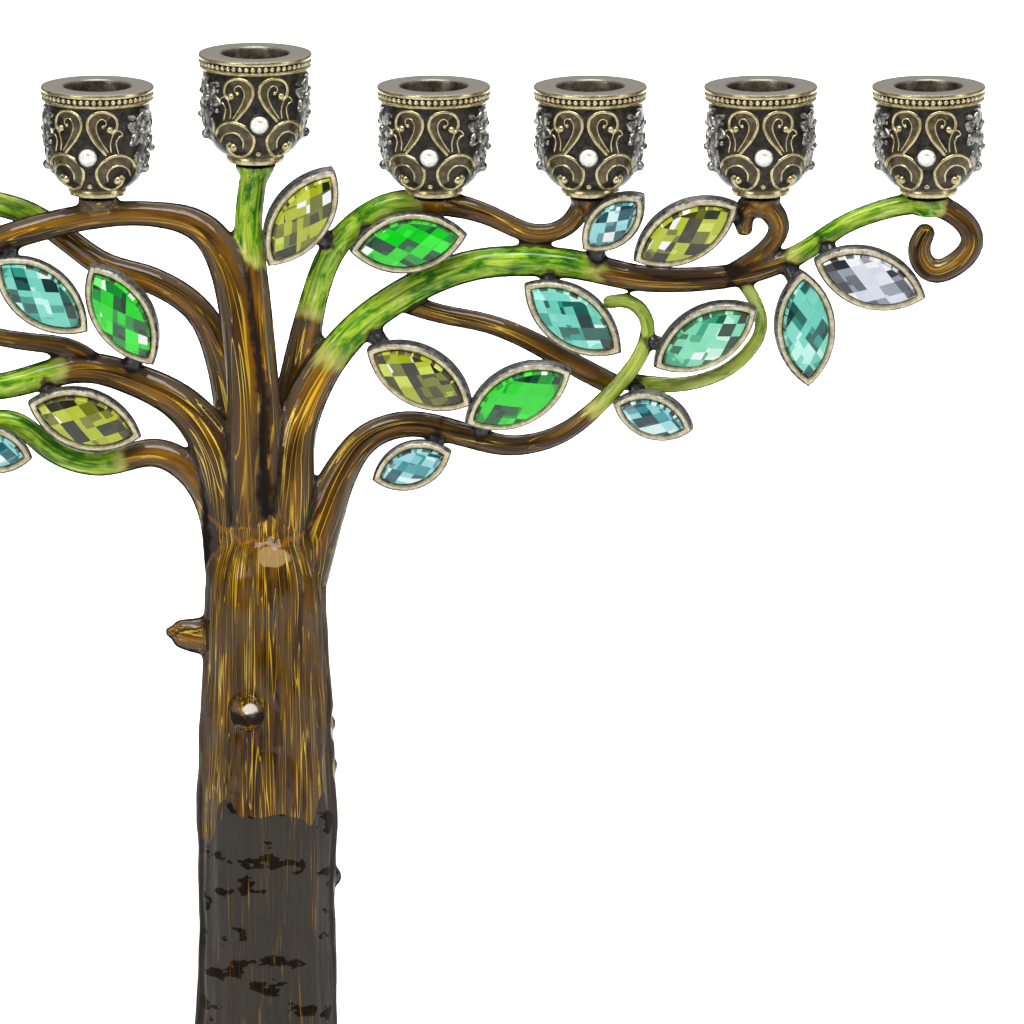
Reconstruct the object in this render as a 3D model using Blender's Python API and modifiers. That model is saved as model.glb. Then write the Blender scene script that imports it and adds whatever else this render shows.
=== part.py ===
"""A nine-light candelabrum, cast as a spreading tree with crystal leaves.

An oval foot carries a trunk, which a screw from below holds. Boughs cast one by one are soldered to the
stubs of the trunk's crown. Each bough carries its leaf settings, and a flat seat for each candle cup.
Metres, +Z up, front towards -Y, origin where the trunk's axis meets the table.
"""

from math import asin, ceil, cos, pi, radians, sin, sqrt

import bmesh
import bpy
from mathutils import Matrix, Vector
from mathutils.bvhtree import BVHTree

MM = 0.001

# Overall sizes
CANOPY_WIDTH = 216 * MM  # across the two outermost curls
TRUNK_HEIGHT = 90 * MM  # from the foot's top to where the lowest bough leaves
CUP_LEVEL = 58.3 * MM  # seat of the eight side cups above the fork
SHAMASH_RISE = 5 * MM  # how much higher the helper light's cup sits

# Foot, felt and the screw that holds the trunk
FELT_THICKNESS = 1.2 * MM
FOOT_LENGTH = 92 * MM
FOOT_DEPTH = 62 * MM
FOOT_RIM = 2.6 * MM
FOOT_HEIGHT = 8.8 * MM
FOOT_TOP_LENGTH = 32 * MM  # of the level oval that the trunk stands on
SCREW_RADIUS = 2.5 * MM
SCREW_LENGTH = 20 * MM
SCREW_HEAD_RADIUS = 4.5 * MM
SCREW_HEAD_HEIGHT = 2.4 * MM
WASHER_RADIUS = 5.4 * MM
WASHER_THICKNESS = 1.0 * MM
SCREW_CLEARANCE = 0.35 * MM

# Trunk
TRUNK_RADIUS = 10.3 * MM
TRUNK_WAIST = 9.3 * MM
TRUNK_FLARE = 13.5 * MM
TRUNK_LEAN = 0.6 * MM
ROOT_COUNT = 7
ROOT_RADIUS = 4.6 * MM
ROOT_REACH = 0.86  # how far the roots run towards the foot's rim, as a share of the way

# Candle cup
CUP_HEIGHT = 16.7 * MM
CUP_RIM_RADIUS = 8.5 * MM
CUP_BODY_RADIUS = 7.9 * MM
CUP_RING_RADIUS = 4.1 * MM
SOCKET_RADIUS = 5.0 * MM
SOCKET_DEPTH = 12.5 * MM
SPIGOT_RADIUS = 1.3 * MM
SPIGOT_LENGTH = 1.8 * MM
STONE_RADIUS = 1.5 * MM
STONE_HEIGHT = 7.1 * MM  # of the stone's centre above the cup's seat
STONE_STANDS = 0.7 * MM
STONE_POCKET = 0.9 * MM

# Leaf crystals, pointed ovals in two stock sizes, and the settings that hold them
LARGE = (15 * MM, 7 * MM)
SMALL = (10 * MM, 5 * MM)
SETTING_WALL = 0.9 * MM
SETTING_DEPTH = 3.2 * MM
POCKET_DEPTH = 2.3 * MM
CRYSTAL_DOME = 1.5 * MM
LEAF_RIM_Y = -4.8 * MM  # the settings' front edges stand this far in front of the boughs
WEB_RADIUS = 1.25 * MM

# Fits
JOINT_GAP = 0.3 * MM
STONE_GAP = 0.25 * MM
SEAT_PAD_RADIUS = 3.0 * MM
SEAT_PAD_HEIGHT = 3.2 * MM

# The canopy's routes are drawn in millimetres on this width, as (across, up, back, radius). Up is from
# the fork. The points before a bough's joint belong to the trunk's stub.
DRAWN_WIDTH = 216
SAMPLE_SPACING = 4.0 * MM

BOUGHS = {
    "shamash_stem": {
        "joint": 2,
        "route": [(0, 6, -2, 3.6), (0, 20, -3, 3.4), (-1, 39, -2.5, 2.8), (-1.5, 48, -1, 2.3), (-2, 54, 0, 2.1),
                  (-1, 62.5, 0, 2.1)],
        "cups": ["shamash"],
        "colour": "green",
    },
    "right_main_bough": {
        "joint": 3,
        "route": [(3.2, 2.5, -1, 4.5), (4, 13.5, -2, 4.0), (5.2, 23.5, -1.8, 3.2), (10.3, 33.4, 0, 2.6),
                  (18.5, 41.5, 0, 2.4), (31, 47.5, 0, 2.4), (45, 48, 0, 2.3), (57.5, 45.5, 0, 2.0),
                  (70.5, 46, 0, 1.8), (80, 49, 0, 1.6), (88.5, 54.5, 0, 1.5), (99.5, 57.2, 0, 1.7),
                  (106, 53.5, 0, 1.7), (106, 49.5, 0, 1.8), (100.5, 46.2, 0, 1.8), (98, 50, 0, 1.6),
                  (99, 52.5, 0, 1.2)],
        "twigs": [[(70, 46, 0, 1.6), (75, 49.5, 0, 1.3), (77.7, 53.5, 0, 1.4), (74.7, 57.2, 0, 1.6),
                   (72.3, 56, 0, 1.3), (72.5, 53.5, 0, 0.8)]],
        "cups": ["right_3", "right_4"],
        "colour": "green",
    },
    "left_main_bough": {
        "joint": 3,
        "route": [(-1, 6, -2, 4.2), (-1.5, 21.5, -3, 3.8), (-2, 32, -3, 3.4), (-4.5, 46.5, -1.5, 3.0),
                  (-9, 53.5, 0, 2.4), (-17, 55.5, 0, 1.9), (-26, 55, 0, 2.0), (-35, 53, -0.8, 2.1),
                  (-47, 49, 0, 2.1), (-65, 45.5, 0, 2.0), (-75, 46, 0, 1.8), (-84.5, 51, 0, 1.5),
                  (-91, 55.3, 0, 1.5), (-99.5, 57.2, 0, 1.7), (-106, 53.5, 0, 1.7), (-106, 49.5, 0, 1.8),
                  (-100.5, 46.2, 0, 1.8), (-98, 50, 0, 1.6), (-99, 52.5, 0, 1.2)],
        "cups": ["left_1", "left_4"],
        "colour": "brown",
    },
    "right_upper_bough": {
        "joint": 3,
        "route": [(3, 4, 3, 4.0), (4, 18.5, 3.5, 3.6), (5.5, 29.5, 3, 3.0), (7.5, 41, 1.5, 2.1),
                  (11, 50.5, 0, 2.0), (18, 56.5, 0, 1.9), (26, 57.2, 0, 2.0), (33.5, 55.5, 0, 1.6),
                  (40.5, 52.2, 0.6, 1.5), (46, 53.5, 0.4, 1.5), (48.7, 58, 0, 1.8)],
        "cups": ["right_1", "right_2"],
        "colour": "green",
    },
    "left_upper_bough": {
        "joint": 3,
        "route": [(-2.5, 3.5, 3, 4.0), (-3.5, 17, 3.5, 3.6), (-4.6, 28, 3.4, 3.0), (-8.8, 39.6, 1.6, 2.2),
                  (-16, 45, 1, 2.1), (-23.5, 47.2, 1.5, 2.0), (-30, 51.4, 4.4, 1.9), (-35, 54.8, 4.0, 1.9),
                  (-42, 57.2, 0.8, 1.9), (-49, 57.2, 0, 2.0), (-57, 55.5, 0, 1.6), (-64, 52.2, 0.6, 1.5),
                  (-70, 53.5, 0.4, 1.5), (-73.2, 58, 0, 1.8)],
        "cups": ["left_2", "left_3"],
        "colour": "green",
    },
    "right_lower_bough": {
        "joint": 3,
        "route": [(4, -3.5, 0, 5.0), (6.5, 3.5, -1, 4.4), (9, 9.5, -1, 3.4), (11.5, 15.5, -0.5, 2.7),
                  (15.5, 21.2, 0, 2.2), (22, 23.5, 0, 2.0), (29.5, 22, 0, 1.9), (37, 20, 0, 1.6),
                  (45, 22, -0.8, 1.5), (52, 28, -1.6, 1.3), (56.8, 34, -0.8, 1.2), (58, 39, 0, 1.1),
                  (55.3, 42.3, 0, 1.1), (52, 42, 0, 1.0)],
        "cups": [],
        "colour": "brown",
    },
    "left_middle_bough": {
        "joint": 3,
        "route": [(-4, -0.5, 0, 4.4), (-5, 10.5, -0.5, 4.0), (-7, 20, -1, 3.6), (-12, 26.5, 0, 2.9),
                  (-20, 30.5, 0, 2.5), (-27.5, 32, 0, 2.3), (-39.5, 29, 0, 2.0), (-52.5, 28.5, 0, 1.6),
                  (-61.5, 32.5, 0, 1.4), (-64.5, 38.5, 0, 1.3), (-61.5, 42.6, 0, 1.1)],
        "twigs": [[(-23.5, 31.3, 0, 1.6), (-28.5, 35, 0, 1.5), (-37, 36.2, 0, 1.4), (-44.5, 38, 0.5, 1.3),
                   (-50.5, 42.6, 0.5, 1.2)]],
        "cups": [],
        "colour": "brown",
    },
    "left_lower_bough": {
        "joint": 3,
        "route": [(-3, -5.5, 1, 5.0), (-4.6, 2.5, 0.5, 4.2), (-6.5, 10, 0, 3.1), (-10, 15.8, 0, 2.5),
                  (-16, 19.2, 0, 2.2), (-24, 17.2, 0, 1.9), (-31, 19, 0, 1.8), (-37.5, 24, 0, 1.7),
                  (-46, 22.5, 0, 1.5), (-56.5, 21.5, 0, 1.3), (-65.5, 28, 0, 1.2), (-70.5, 37.5, 0, 1.1),
                  (-70.2, 44.2, 0, 1.1)],
        "cups": [],
        "colour": "green",
    },
    "right_middle_twig": {
        "joint": 0,
        "route": [(20.5, 42, 1.2, 1.6), (26.5, 40, 1.2, 1.5), (34, 38.5, 1.2, 1.5), (40, 36, 1.4, 1.6),
                  (46.5, 32.2, 2.2, 1.7), (53, 28.5, 3.4, 1.7)],
        "cups": [],
        "colour": "brown",
    },
    "right_tendril": {
        "joint": 0,
        "route": [(54.5, 29.5, 2.0, 1.4), (58.5, 29.2, 1.2, 1.3), (64, 29.5, 0, 1.1), (70.5, 32, 0, 1.1),
                  (75, 37.5, 0, 1.0), (74, 42, 0, 1.0), (71.5, 46, 0, 1.1)],
        "cups": [],
        "colour": "green",
    },
}

# Where each cup stands along the canopy, and how far its front is turned, in degrees.
CUPS = {
    "shamash": (-0.9, 5),
    "right_1": (25.8, -5),
    "right_2": (49.2, -2),
    "right_3": (74.7, 3),
    "right_4": (99.8, -3),
    "left_1": (-24.5, -10),
    "left_2": (-49.2, 4),
    "left_3": (-74, -3),
    "left_4": (-99.8, 6),
}

# Leaves: name, the bough that carries it, crystal size, (across, up) of its centre, the angle of its length
# from the horizontal, and how far it is turned to the right and upwards, in degrees.
LEAVES = [
    ("olive_1", "right_upper_bough", LARGE, (6.1, 55.6), 57, 10, -8),
    ("green_1", "right_upper_bough", LARGE, (22, 51.8), 8, 0, 0),
    ("aqua_1", "right_main_bough", SMALL, (52.5, 54.8), 43, -10, -8),
    ("olive_2", "right_main_bough", LARGE, (63.5, 53.3), 29, 4, -8),
    ("teal_1", "right_main_bough", LARGE, (46.5, 40.3), -35, -5, 0),
    ("emerald_1", "right_lower_bough", LARGE, (66.5, 37.3), 30, 6, -8),
    ("teal_2", "right_main_bough", LARGE, (81.5, 38.8), 93, 10, 0),
    ("clear_1", "right_main_bough", LARGE, (91, 46.3), -19, 0, -4),
    ("olive_3", "right_main_bough", LARGE, (23.5, 31.3), -28, -8, -8),
    ("green_2", "right_lower_bough", LARGE, (38.5, 28.3), 27, 6, -8),
    ("aqua_2", "right_lower_bough", SMALL, (22.5, 17.8), 20, 0, 0),
    ("aqua_3", "right_tendril", SMALL, (58.5, 25.3), -18, -8, -6),
    ("teal_3", "left_main_bough", LARGE, (-33, 43.8), -38, 0, 0),
    ("green_3", "left_middle_bough", LARGE, (-21, 40.8), -58, -10, -4),
    ("olive_4", "left_middle_bough", LARGE, (-26.5, 24.8), -17, 0, -4),
    ("aqua_4", "left_lower_bough", SMALL, (-40.5, 20.3), -12, 0, 0),
    ("green_4", "left_upper_bough", LARGE, (-50, 52.3), -8, 0, -4),
    ("aqua_5", "left_upper_bough", SMALL, (-78, 53.6), 137, 8, -8),
    ("teal_4", "left_main_bough", LARGE, (-81.5, 38.8), 86, -8, 0),
    ("clear_2", "left_main_bough", LARGE, (-91, 46.3), 19, 0, -4),
    ("emerald_2", "left_middle_bough", LARGE, (-48, 34.8), 30, 5, -8),
    ("aqua_6", "left_middle_bough", SMALL, (-57.5, 39.8), -60, -6, -4),
    ("aqua_7", "left_lower_bough", SMALL, (-54, 16.8), 14, 0, -4),
    ("olive_5", "left_lower_bough", LARGE, (-57.5, 26.2), -20, -4, -6),
]

COLOURS = {
    "brown": ((0.16, 0.07, 0.015), 0.25, 0.4),
    "green": ((0.22, 0.42, 0.03), 0.25, 0.3),
    "brass": ((0.36, 0.31, 0.17), 0.4, 0.9),
    "steel": ((0.5, 0.5, 0.5), 0.4, 1.0),
    "felt": ((0.03, 0.1, 0.04), 1.0, 0.0),
    "olive_glass": ((0.33, 0.4, 0.02), 0.05, 0.0),
    "green_glass": ((0.0, 0.45, 0.05), 0.05, 0.0),
    "teal_glass": ((0.03, 0.4, 0.3), 0.05, 0.0),
    "aqua_glass": ((0.1, 0.42, 0.42), 0.05, 0.0),
    "emerald_glass": ((0.05, 0.5, 0.22), 0.05, 0.0),
    "clear_glass": ((0.8, 0.82, 0.85), 0.05, 0.0),
}

FORK = FELT_THICKNESS + FOOT_HEIGHT + TRUNK_HEIGHT


# Scene, objects and materials


def clear_scene():
    for obj in list(bpy.data.objects):
        bpy.data.objects.remove(obj)


def collection(name):
    made = bpy.data.collections.new(name)
    bpy.context.scene.collection.children.link(made)
    return made


def material(name):
    found = bpy.data.materials.get(name)
    if found:
        return found
    colour, roughness, metallic = COLOURS[name]
    made = bpy.data.materials.new(name)
    made.use_nodes = True
    shader = made.node_tree.nodes["Principled BSDF"]
    shader.inputs["Base Color"].default_value = (*colour, 1)
    shader.inputs["Roughness"].default_value = roughness
    shader.inputs["Metallic"].default_value = metallic
    made.diffuse_color = (*colour, 1)
    return made


def add(name, data, group):
    obj = bpy.data.objects.new(name, data)
    group.objects.link(obj)
    return obj


def helper(name, data):
    """An object that only cuts or joins, so it isn't part of the model."""
    obj = add(name, data, HELPERS)
    obj.hide_render = True
    obj.display_type = "WIRE"
    return obj


def finish(obj, colour, smooth_angle=35):
    obj.data.materials.clear()
    obj.data.materials.append(material(colour))
    obj.data.shade_smooth()
    obj.data.set_sharp_from_angle(angle=radians(smooth_angle))
    return obj


def evaluated_mesh(obj, weld=0.001 * MM):
    """The mesh that the object shows, welded, in the object's own space."""
    bpy.context.view_layer.update()
    graph = bpy.context.evaluated_depsgraph_get()
    mesh = bpy.data.meshes.new_from_object(obj.evaluated_get(graph))
    shape = bmesh.new()
    shape.from_mesh(mesh)
    bmesh.ops.remove_doubles(shape, verts=shape.verts, dist=weld)
    shape.to_mesh(mesh)
    shape.free()
    return mesh


def as_mesh(curve_object):
    """The curve object made a mesh helper, in world space."""
    mesh = evaluated_mesh(curve_object)
    mesh.transform(curve_object.matrix_world)
    name = curve_object.name
    bpy.data.objects.remove(curve_object)
    return helper(name, mesh)


def boolean(target, others, operation):
    """Joins or cuts every other object with the target at once, and removes them."""
    if not others:
        return target
    cutters = bpy.data.collections.new("cutters")
    for other in others:
        cutters.objects.link(other)
    modifier = target.modifiers.new(operation.lower(), "BOOLEAN")
    modifier.operation = operation
    modifier.solver = "EXACT"
    modifier.operand_type = "COLLECTION"
    modifier.collection = cutters
    mesh = evaluated_mesh(target)
    target.modifiers.clear()
    target.data = mesh
    for other in others:
        bpy.data.objects.remove(other)
    bpy.data.collections.remove(cutters)
    return target


# Shapes


def smooth_route(points, spacing=SAMPLE_SPACING):
    """(samples, index of each point) along a Catmull-Rom curve through points of (x, y, z, radius)."""
    ends = [points[0] * 2 - points[1], *points, points[-1] * 2 - points[-2]]
    samples, index = [], []
    for before, start, end, after in zip(ends, ends[1:], ends[2:], ends[3:]):
        index.append(len(samples))
        steps = max(1, ceil((end - start).to_3d().length / spacing))
        for step in range(steps):
            t = step / steps
            samples.append(
                0.5 * (2 * start + (end - before) * t + (2 * before - 5 * start + 4 * end - after) * t**2
                       + (3 * start - before - 3 * end + after) * t**3)
            )
    index.append(len(samples))
    samples.append(points[-1].copy())
    return samples, index


def tube(name, samples, grown=0.0, rings=2):
    """A round bar along samples of (x, y, z, radius), thickened by grown."""
    curve = bpy.data.curves.new(name, "CURVE")
    curve.dimensions = "3D"
    curve.bevel_depth = 1.0
    curve.bevel_resolution = rings
    curve.use_fill_caps = True
    spline = curve.splines.new("POLY")
    spline.points.add(len(samples) - 1)
    for point, sample in zip(spline.points, samples):
        point.co = (*sample.to_3d(), 1)
        point.radius = sample[3] + grown
    return as_mesh(add(name, curve, HELPERS))


def turned(name, profile, steps=20, squash=1.0, group=None):
    """A profile of (radius, height) turned about Z. It runs up the inside and down the outer side."""
    mesh = bpy.data.meshes.new(name)
    points = [(radius, 0, height) for radius, height in profile]
    mesh.from_pydata(points, [(i, i + 1) for i in range(len(points) - 1)], [])
    obj = helper(name, mesh)
    screw = obj.modifiers.new("turn", "SCREW")
    screw.steps = screw.render_steps = steps
    screw.use_merge_vertices = True
    screw.merge_threshold = 0.00001
    made = evaluated_mesh(obj)
    made.transform(Matrix.Diagonal((1, squash, 1, 1)))
    bpy.data.objects.remove(obj)
    return helper(name, made) if group is None else add(name, made, group)


def cylinder(name, radius, low, high, steps=16):
    return turned(name, [(0, high), (radius, high), (radius, low), (0, low)], steps)


def pointed_oval(size, offset=0.0, steps=5):
    """The outline of two arcs that meet in points, moved outwards by offset, anticlockwise."""
    half_length, half_width = size[0] / 2, size[1] / 2
    radius = (half_length**2 + half_width**2) / (2 * half_width)
    centre = radius - half_width
    radius += offset
    reach = asin(sqrt(radius**2 - centre**2) / radius)
    arc = [reach * (1 - 2 * step / steps) for step in range(steps)]
    upper = [(radius * sin(angle), radius * cos(angle) - centre) for angle in arc]
    return upper + [(-x, -y) for x, y in upper]


def loft(name, levels):
    """A closed solid through outlines of (points, height), from the lowest to the highest."""
    shape = bmesh.new()
    rings = [[shape.verts.new((x, y, height)) for x, y in outline] for outline, height in levels]
    for low, high in zip(rings, rings[1:]):
        count = len(low)
        for i in range(count):
            shape.faces.new((low[i], low[(i + 1) % count], high[(i + 1) % count], high[i]))
    shape.faces.new(list(reversed(rings[0])))
    shape.faces.new(rings[-1])
    bmesh.ops.recalc_face_normals(shape, faces=shape.faces)
    mesh = bpy.data.meshes.new(name)
    shape.to_mesh(mesh)
    shape.free()
    return mesh


def placed(obj, matrix):
    """A helper moved into place in its mesh."""
    obj.data.transform(matrix)
    return obj


# Places


def canopy_point(across, up, back=0.0, radius=0.0):
    """A drawn point of the canopy in the model, as (x, y, z, radius)."""
    stretch = CANOPY_WIDTH / DRAWN_WIDTH
    return Vector((across * stretch, back * MM, FORK + up * MM, radius * MM))


def route_of(drawn):
    return [canopy_point(*point) for point in drawn]


def cup_place(cup):
    """Where a cup's seat is, as a matrix that also turns the cup's front."""
    across, turn = CUPS[cup]
    level = CUP_LEVEL + (SHAMASH_RISE if cup == "shamash" else 0)
    seat = Vector((across * CANOPY_WIDTH / DRAWN_WIDTH, 0, FORK + level))
    return Matrix.Translation(seat) @ Matrix.Rotation(radians(turn), 4, "Z")


def leaf_place(centre, angle, turn, tip_up):
    """A leaf's own frame: X along its length, Z out of its front, origin in the setting's front edge."""
    place = Vector((canopy_point(*centre).x, LEAF_RIM_Y, canopy_point(*centre).z))
    return (
        Matrix.Translation(place)
        @ Matrix.Rotation(radians(turn), 4, "Z")
        @ Matrix.Rotation(radians(90 - tip_up), 4, "X")
        @ Matrix.Rotation(radians(angle), 4, "Z")
    )


# Cups, stones and crystals


def cup_profile(grown=0.0):
    """The cup's outer side from its rim down to its ring, as (radius, height)."""
    side = [
        (CUP_RIM_RADIUS, CUP_HEIGHT),
        (CUP_RIM_RADIUS, CUP_HEIGHT - 2.0 * MM),
        (CUP_BODY_RADIUS, CUP_HEIGHT - 2.4 * MM),
        (CUP_BODY_RADIUS, 8.5 * MM),
        (CUP_BODY_RADIUS - 1.3 * MM, 3.8 * MM),
        (CUP_RING_RADIUS, 1.2 * MM),
        (CUP_RING_RADIUS, 0),
    ]
    return [(radius + grown, height) for radius, height in side]


def cup_mesh():
    floor = CUP_HEIGHT - SOCKET_DEPTH
    inside = [(0, floor), (SOCKET_RADIUS, floor), (SOCKET_RADIUS, CUP_HEIGHT)]
    below = [(SPIGOT_RADIUS, 0), (SPIGOT_RADIUS, -SPIGOT_LENGTH), (0, -SPIGOT_LENGTH)]
    body = turned("cup_body", [*inside, *cup_profile(), *below], steps=18)
    pocket = cylinder("stone_pocket", STONE_RADIUS + STONE_GAP, 0, 5 * MM, steps=10)
    boolean(body, [placed(pocket, stone_place(-STONE_POCKET))], "DIFFERENCE")
    mesh = body.data
    bpy.data.objects.remove(body)
    return mesh


def stone_place(out):
    """The stone's frame on the cup's front, out from the cup's wall, Z facing away from the cup."""
    wall = CUP_BODY_RADIUS - 0.35 * MM
    return Matrix.Translation((0, -wall - out, STONE_HEIGHT)) @ Matrix.Rotation(radians(90), 4, "X")


def add_cups():
    mesh = cup_mesh()
    stone = turned("round_stone", [(0, STONE_STANDS), (0.55 * STONE_RADIUS, STONE_STANDS), (STONE_RADIUS, 0),
                                   (0.4 * STONE_RADIUS, -STONE_POCKET + STONE_GAP),
                                   (0, -STONE_POCKET + STONE_GAP)], steps=10)
    for cup in CUPS:
        body = add(f"cup_{cup}", mesh, PARTS)
        body.matrix_world = cup_place(cup)
        finish(body, "brass")
        gem = add(f"cup_stone_{cup}", stone.data, PARTS)
        gem.matrix_world = cup_place(cup) @ stone_place(0)
        finish(gem, "clear_glass", smooth_angle=5)
    bpy.data.objects.remove(stone)


def crystal_mesh(name, size):
    """A pointed oval stone: a flat back, a girdle level with the setting's edge and a low faceted front."""
    back = -POCKET_DEPTH + STONE_GAP
    shrunk = [(0.35 * x, 0.35 * y) for x, y in pointed_oval(size)]
    table = [(0.5 * x, 0.5 * y) for x, y in pointed_oval(size)]
    return loft(name, [(shrunk, back), (pointed_oval(size), -0.4 * MM), (pointed_oval(size), 0),
                       (table, CRYSTAL_DOME)])


def add_crystals():
    meshes = {}
    for name, _, size, centre, angle, turn, tip_up in LEAVES:
        kind = name.split("_")[0]
        key = (kind, size)
        if key not in meshes:
            meshes[key] = crystal_mesh(f"{kind}_crystal", size)
        stone = add(f"crystal_{name}", meshes[key], PARTS)
        stone.matrix_world = leaf_place(centre, angle, turn, tip_up)
        finish(stone, f"{kind}_glass", smooth_angle=5)


# Castings


def web_to(route, place, size):
    """A short bar from the back of a leaf's setting to the nearest place on its bough."""
    half = 0.32 * size[0]
    along = [place @ Vector((half * step / 4, 0, -SETTING_DEPTH + 0.5 * MM)) for step in range(-4, 5)]
    start, end = min(((a, b) for a in along for b in route), key=lambda pair: (pair[0] - pair[1].to_3d()).length)
    return [Vector((*start, WEB_RADIUS)), Vector((*end.to_3d(), WEB_RADIUS * 0.9))]


def prism(name, size, offset, low, high, place):
    outline = pointed_oval(size, offset)
    return placed(helper(name, loft(name, [(outline, low), (outline, high)])), place)


def leaf_keep_out(leaf):
    """The room that a leaf's setting and crystal take, with the joint gap round it."""
    _, _, size, centre, angle, turn, tip_up = leaf
    wall = STONE_GAP + SETTING_WALL + JOINT_GAP
    place = leaf_place(centre, angle, turn, tip_up)
    return prism("room", size, wall, -SETTING_DEPTH - JOINT_GAP, CRYSTAL_DOME + JOINT_GAP, place)


def cup_keep_out(cup):
    """The room above a cup's seat, and the hole for its spigot."""
    lift = JOINT_GAP
    side = [(radius, height - lift) for radius, height in cup_profile(grown=JOINT_GAP)]
    hole = [(SPIGOT_RADIUS + JOINT_GAP, -lift), (SPIGOT_RADIUS + JOINT_GAP, -SPIGOT_LENGTH - lift),
            (0, -SPIGOT_LENGTH - lift)]
    top = CUP_HEIGHT + JOINT_GAP
    return placed(turned("cup_room", [(0, top), *side, *hole], steps=12), cup_place(cup))


def touches(obj, other):
    """True if the two meshes' surfaces cross."""
    trees = []
    for each in (obj, other):
        shape = bmesh.new()
        shape.from_mesh(each.data)
        trees.append(BVHTree.FromBMesh(shape))
        shape.free()
    return bool(trees[0].overlap(trees[1]))


def cut_away(casting, rooms):
    """Cuts the rooms that the casting reaches into, one by one, and drops the rest."""
    for room in rooms:
        if touches(casting, room):
            boolean(casting, [room], "DIFFERENCE")
        else:
            bpy.data.objects.remove(room)
    return casting


def stub_samples(bough):
    samples, index = smooth_route(route_of(bough["route"]))
    return samples[: index[bough["joint"]] + 1]


def bough_samples(bough):
    """The bough's own samples, which start the joint's gap after the trunk's stub."""
    samples, index = smooth_route(route_of(bough["route"]))
    samples = samples[index[bough["joint"]] :]
    if bough["joint"]:
        step = samples[1] - samples[0]
        samples[0] = samples[0] + step * (JOINT_GAP / step.to_3d().length)
    return samples


def bough_rooms(bough):
    """The thickened bars of a finished bough, which later boughs keep clear of."""
    routes = [bough_samples(bough)] + [smooth_route(route_of(twig))[0] for twig in bough.get("twigs", [])]
    return [tube("bough_room", samples, grown=JOINT_GAP) for samples in routes]


def trunk_samples():
    """The trunk's column as (x, y, z, radius): a flare at the foot, a slim waist under the fork.

    It starts a little below the foot's top, where the foot's room cuts it off level.
    """
    foot = FELT_THICKNESS + FOOT_HEIGHT - 0.5 * MM
    rise = FORK - foot
    column = [(0, TRUNK_FLARE), (0.09, 0.5 * (TRUNK_FLARE + TRUNK_RADIUS)), (0.24, TRUNK_RADIUS + 0.4 * MM),
              (0.4, TRUNK_RADIUS), (0.62, TRUNK_RADIUS + 0.2 * MM), (0.8, 0.5 * (TRUNK_RADIUS + TRUNK_WAIST)),
              (0.97, TRUNK_WAIST), (1.06, 0.92 * TRUNK_WAIST), (1.13, 0.7 * TRUNK_WAIST),
              (1.17, 0.35 * TRUNK_WAIST)]
    return [Vector((TRUNK_LEAN, 0, foot + share * rise, radius)) for share, radius in column]


def knots():
    """Two cut-off twigs, one out of the trunk's left side and one out of its front."""
    left = FORK - 9 * MM
    front = FORK - 19 * MM
    return [
        [Vector((-6 * MM, 0, left, 3.6 * MM)), Vector((-9.8 * MM, 0, left, 2.7 * MM)),
         Vector((-12.6 * MM, 0, left + 0.4 * MM, 2.0 * MM)), Vector((-13.6 * MM, 0, left + 0.5 * MM, 1.0 * MM))],
        [Vector((-2.2 * MM, -6 * MM, front, 2.8 * MM)), Vector((-2.2 * MM, -11.4 * MM, front, 2.3 * MM)),
         Vector((-2.2 * MM, -12.4 * MM, front, 1.3 * MM))],
    ]


def roots():
    """Roots that leave the trunk's flare and run down the foot's slope to points, evenly round it."""
    lines = []
    for index in range(ROOT_COUNT):
        angle = 2 * pi * (index + 0.4) / ROOT_COUNT
        rim = Vector((cos(angle) * FOOT_LENGTH, sin(angle) * FOOT_DEPTH)) / 2
        start = 0.6 * TRUNK_RADIUS / rim.length
        points = []
        for way, lift, thick in [(0, 15 * MM, 0.9), (0.22, 5.5 * MM, 1.0), (0.5, 1.2 * MM, 0.8), (0.78, 0, 0.55),
                                 (1, -0.2 * MM, 0.3)]:
            share = start + (ROOT_REACH - start) * way
            points.append(Vector((*(rim * share), foot_height(share) + lift, ROOT_RADIUS * thick)))
        lines.append(smooth_route(points, spacing=9 * MM)[0])
    return lines


def add_trunk():
    trunk = tube("trunk", trunk_samples(), rings=4)
    stubs = [tube("stub", stub_samples(bough)) for bough in BOUGHS.values() if bough["joint"]]
    boolean(trunk, stubs + [tube("knot", knot) for knot in knots()], "UNION")
    for root in roots():
        boolean(trunk, [tube("root", root)], "UNION")
    cut_away(trunk, [foot_room()])
    foot = FELT_THICKNESS + FOOT_HEIGHT
    tapped = cylinder("tapped_hole", SCREW_RADIUS + SCREW_CLEARANCE, foot - MM, foot + SCREW_LENGTH, steps=12)
    boolean(trunk, [placed(tapped, Matrix.Translation((0, 0, 0)))], "DIFFERENCE")
    return keep(trunk, "brown")


def keep(casting, colour):
    """The casting becomes a part of the model, without the slivers that its cuts left."""
    casting.data = evaluated_mesh(casting, weld=0.004 * MM)
    HELPERS.objects.unlink(casting)
    PARTS.objects.link(casting)
    casting.hide_render = False
    casting.display_type = "TEXTURED"
    return finish(casting, colour)


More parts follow.
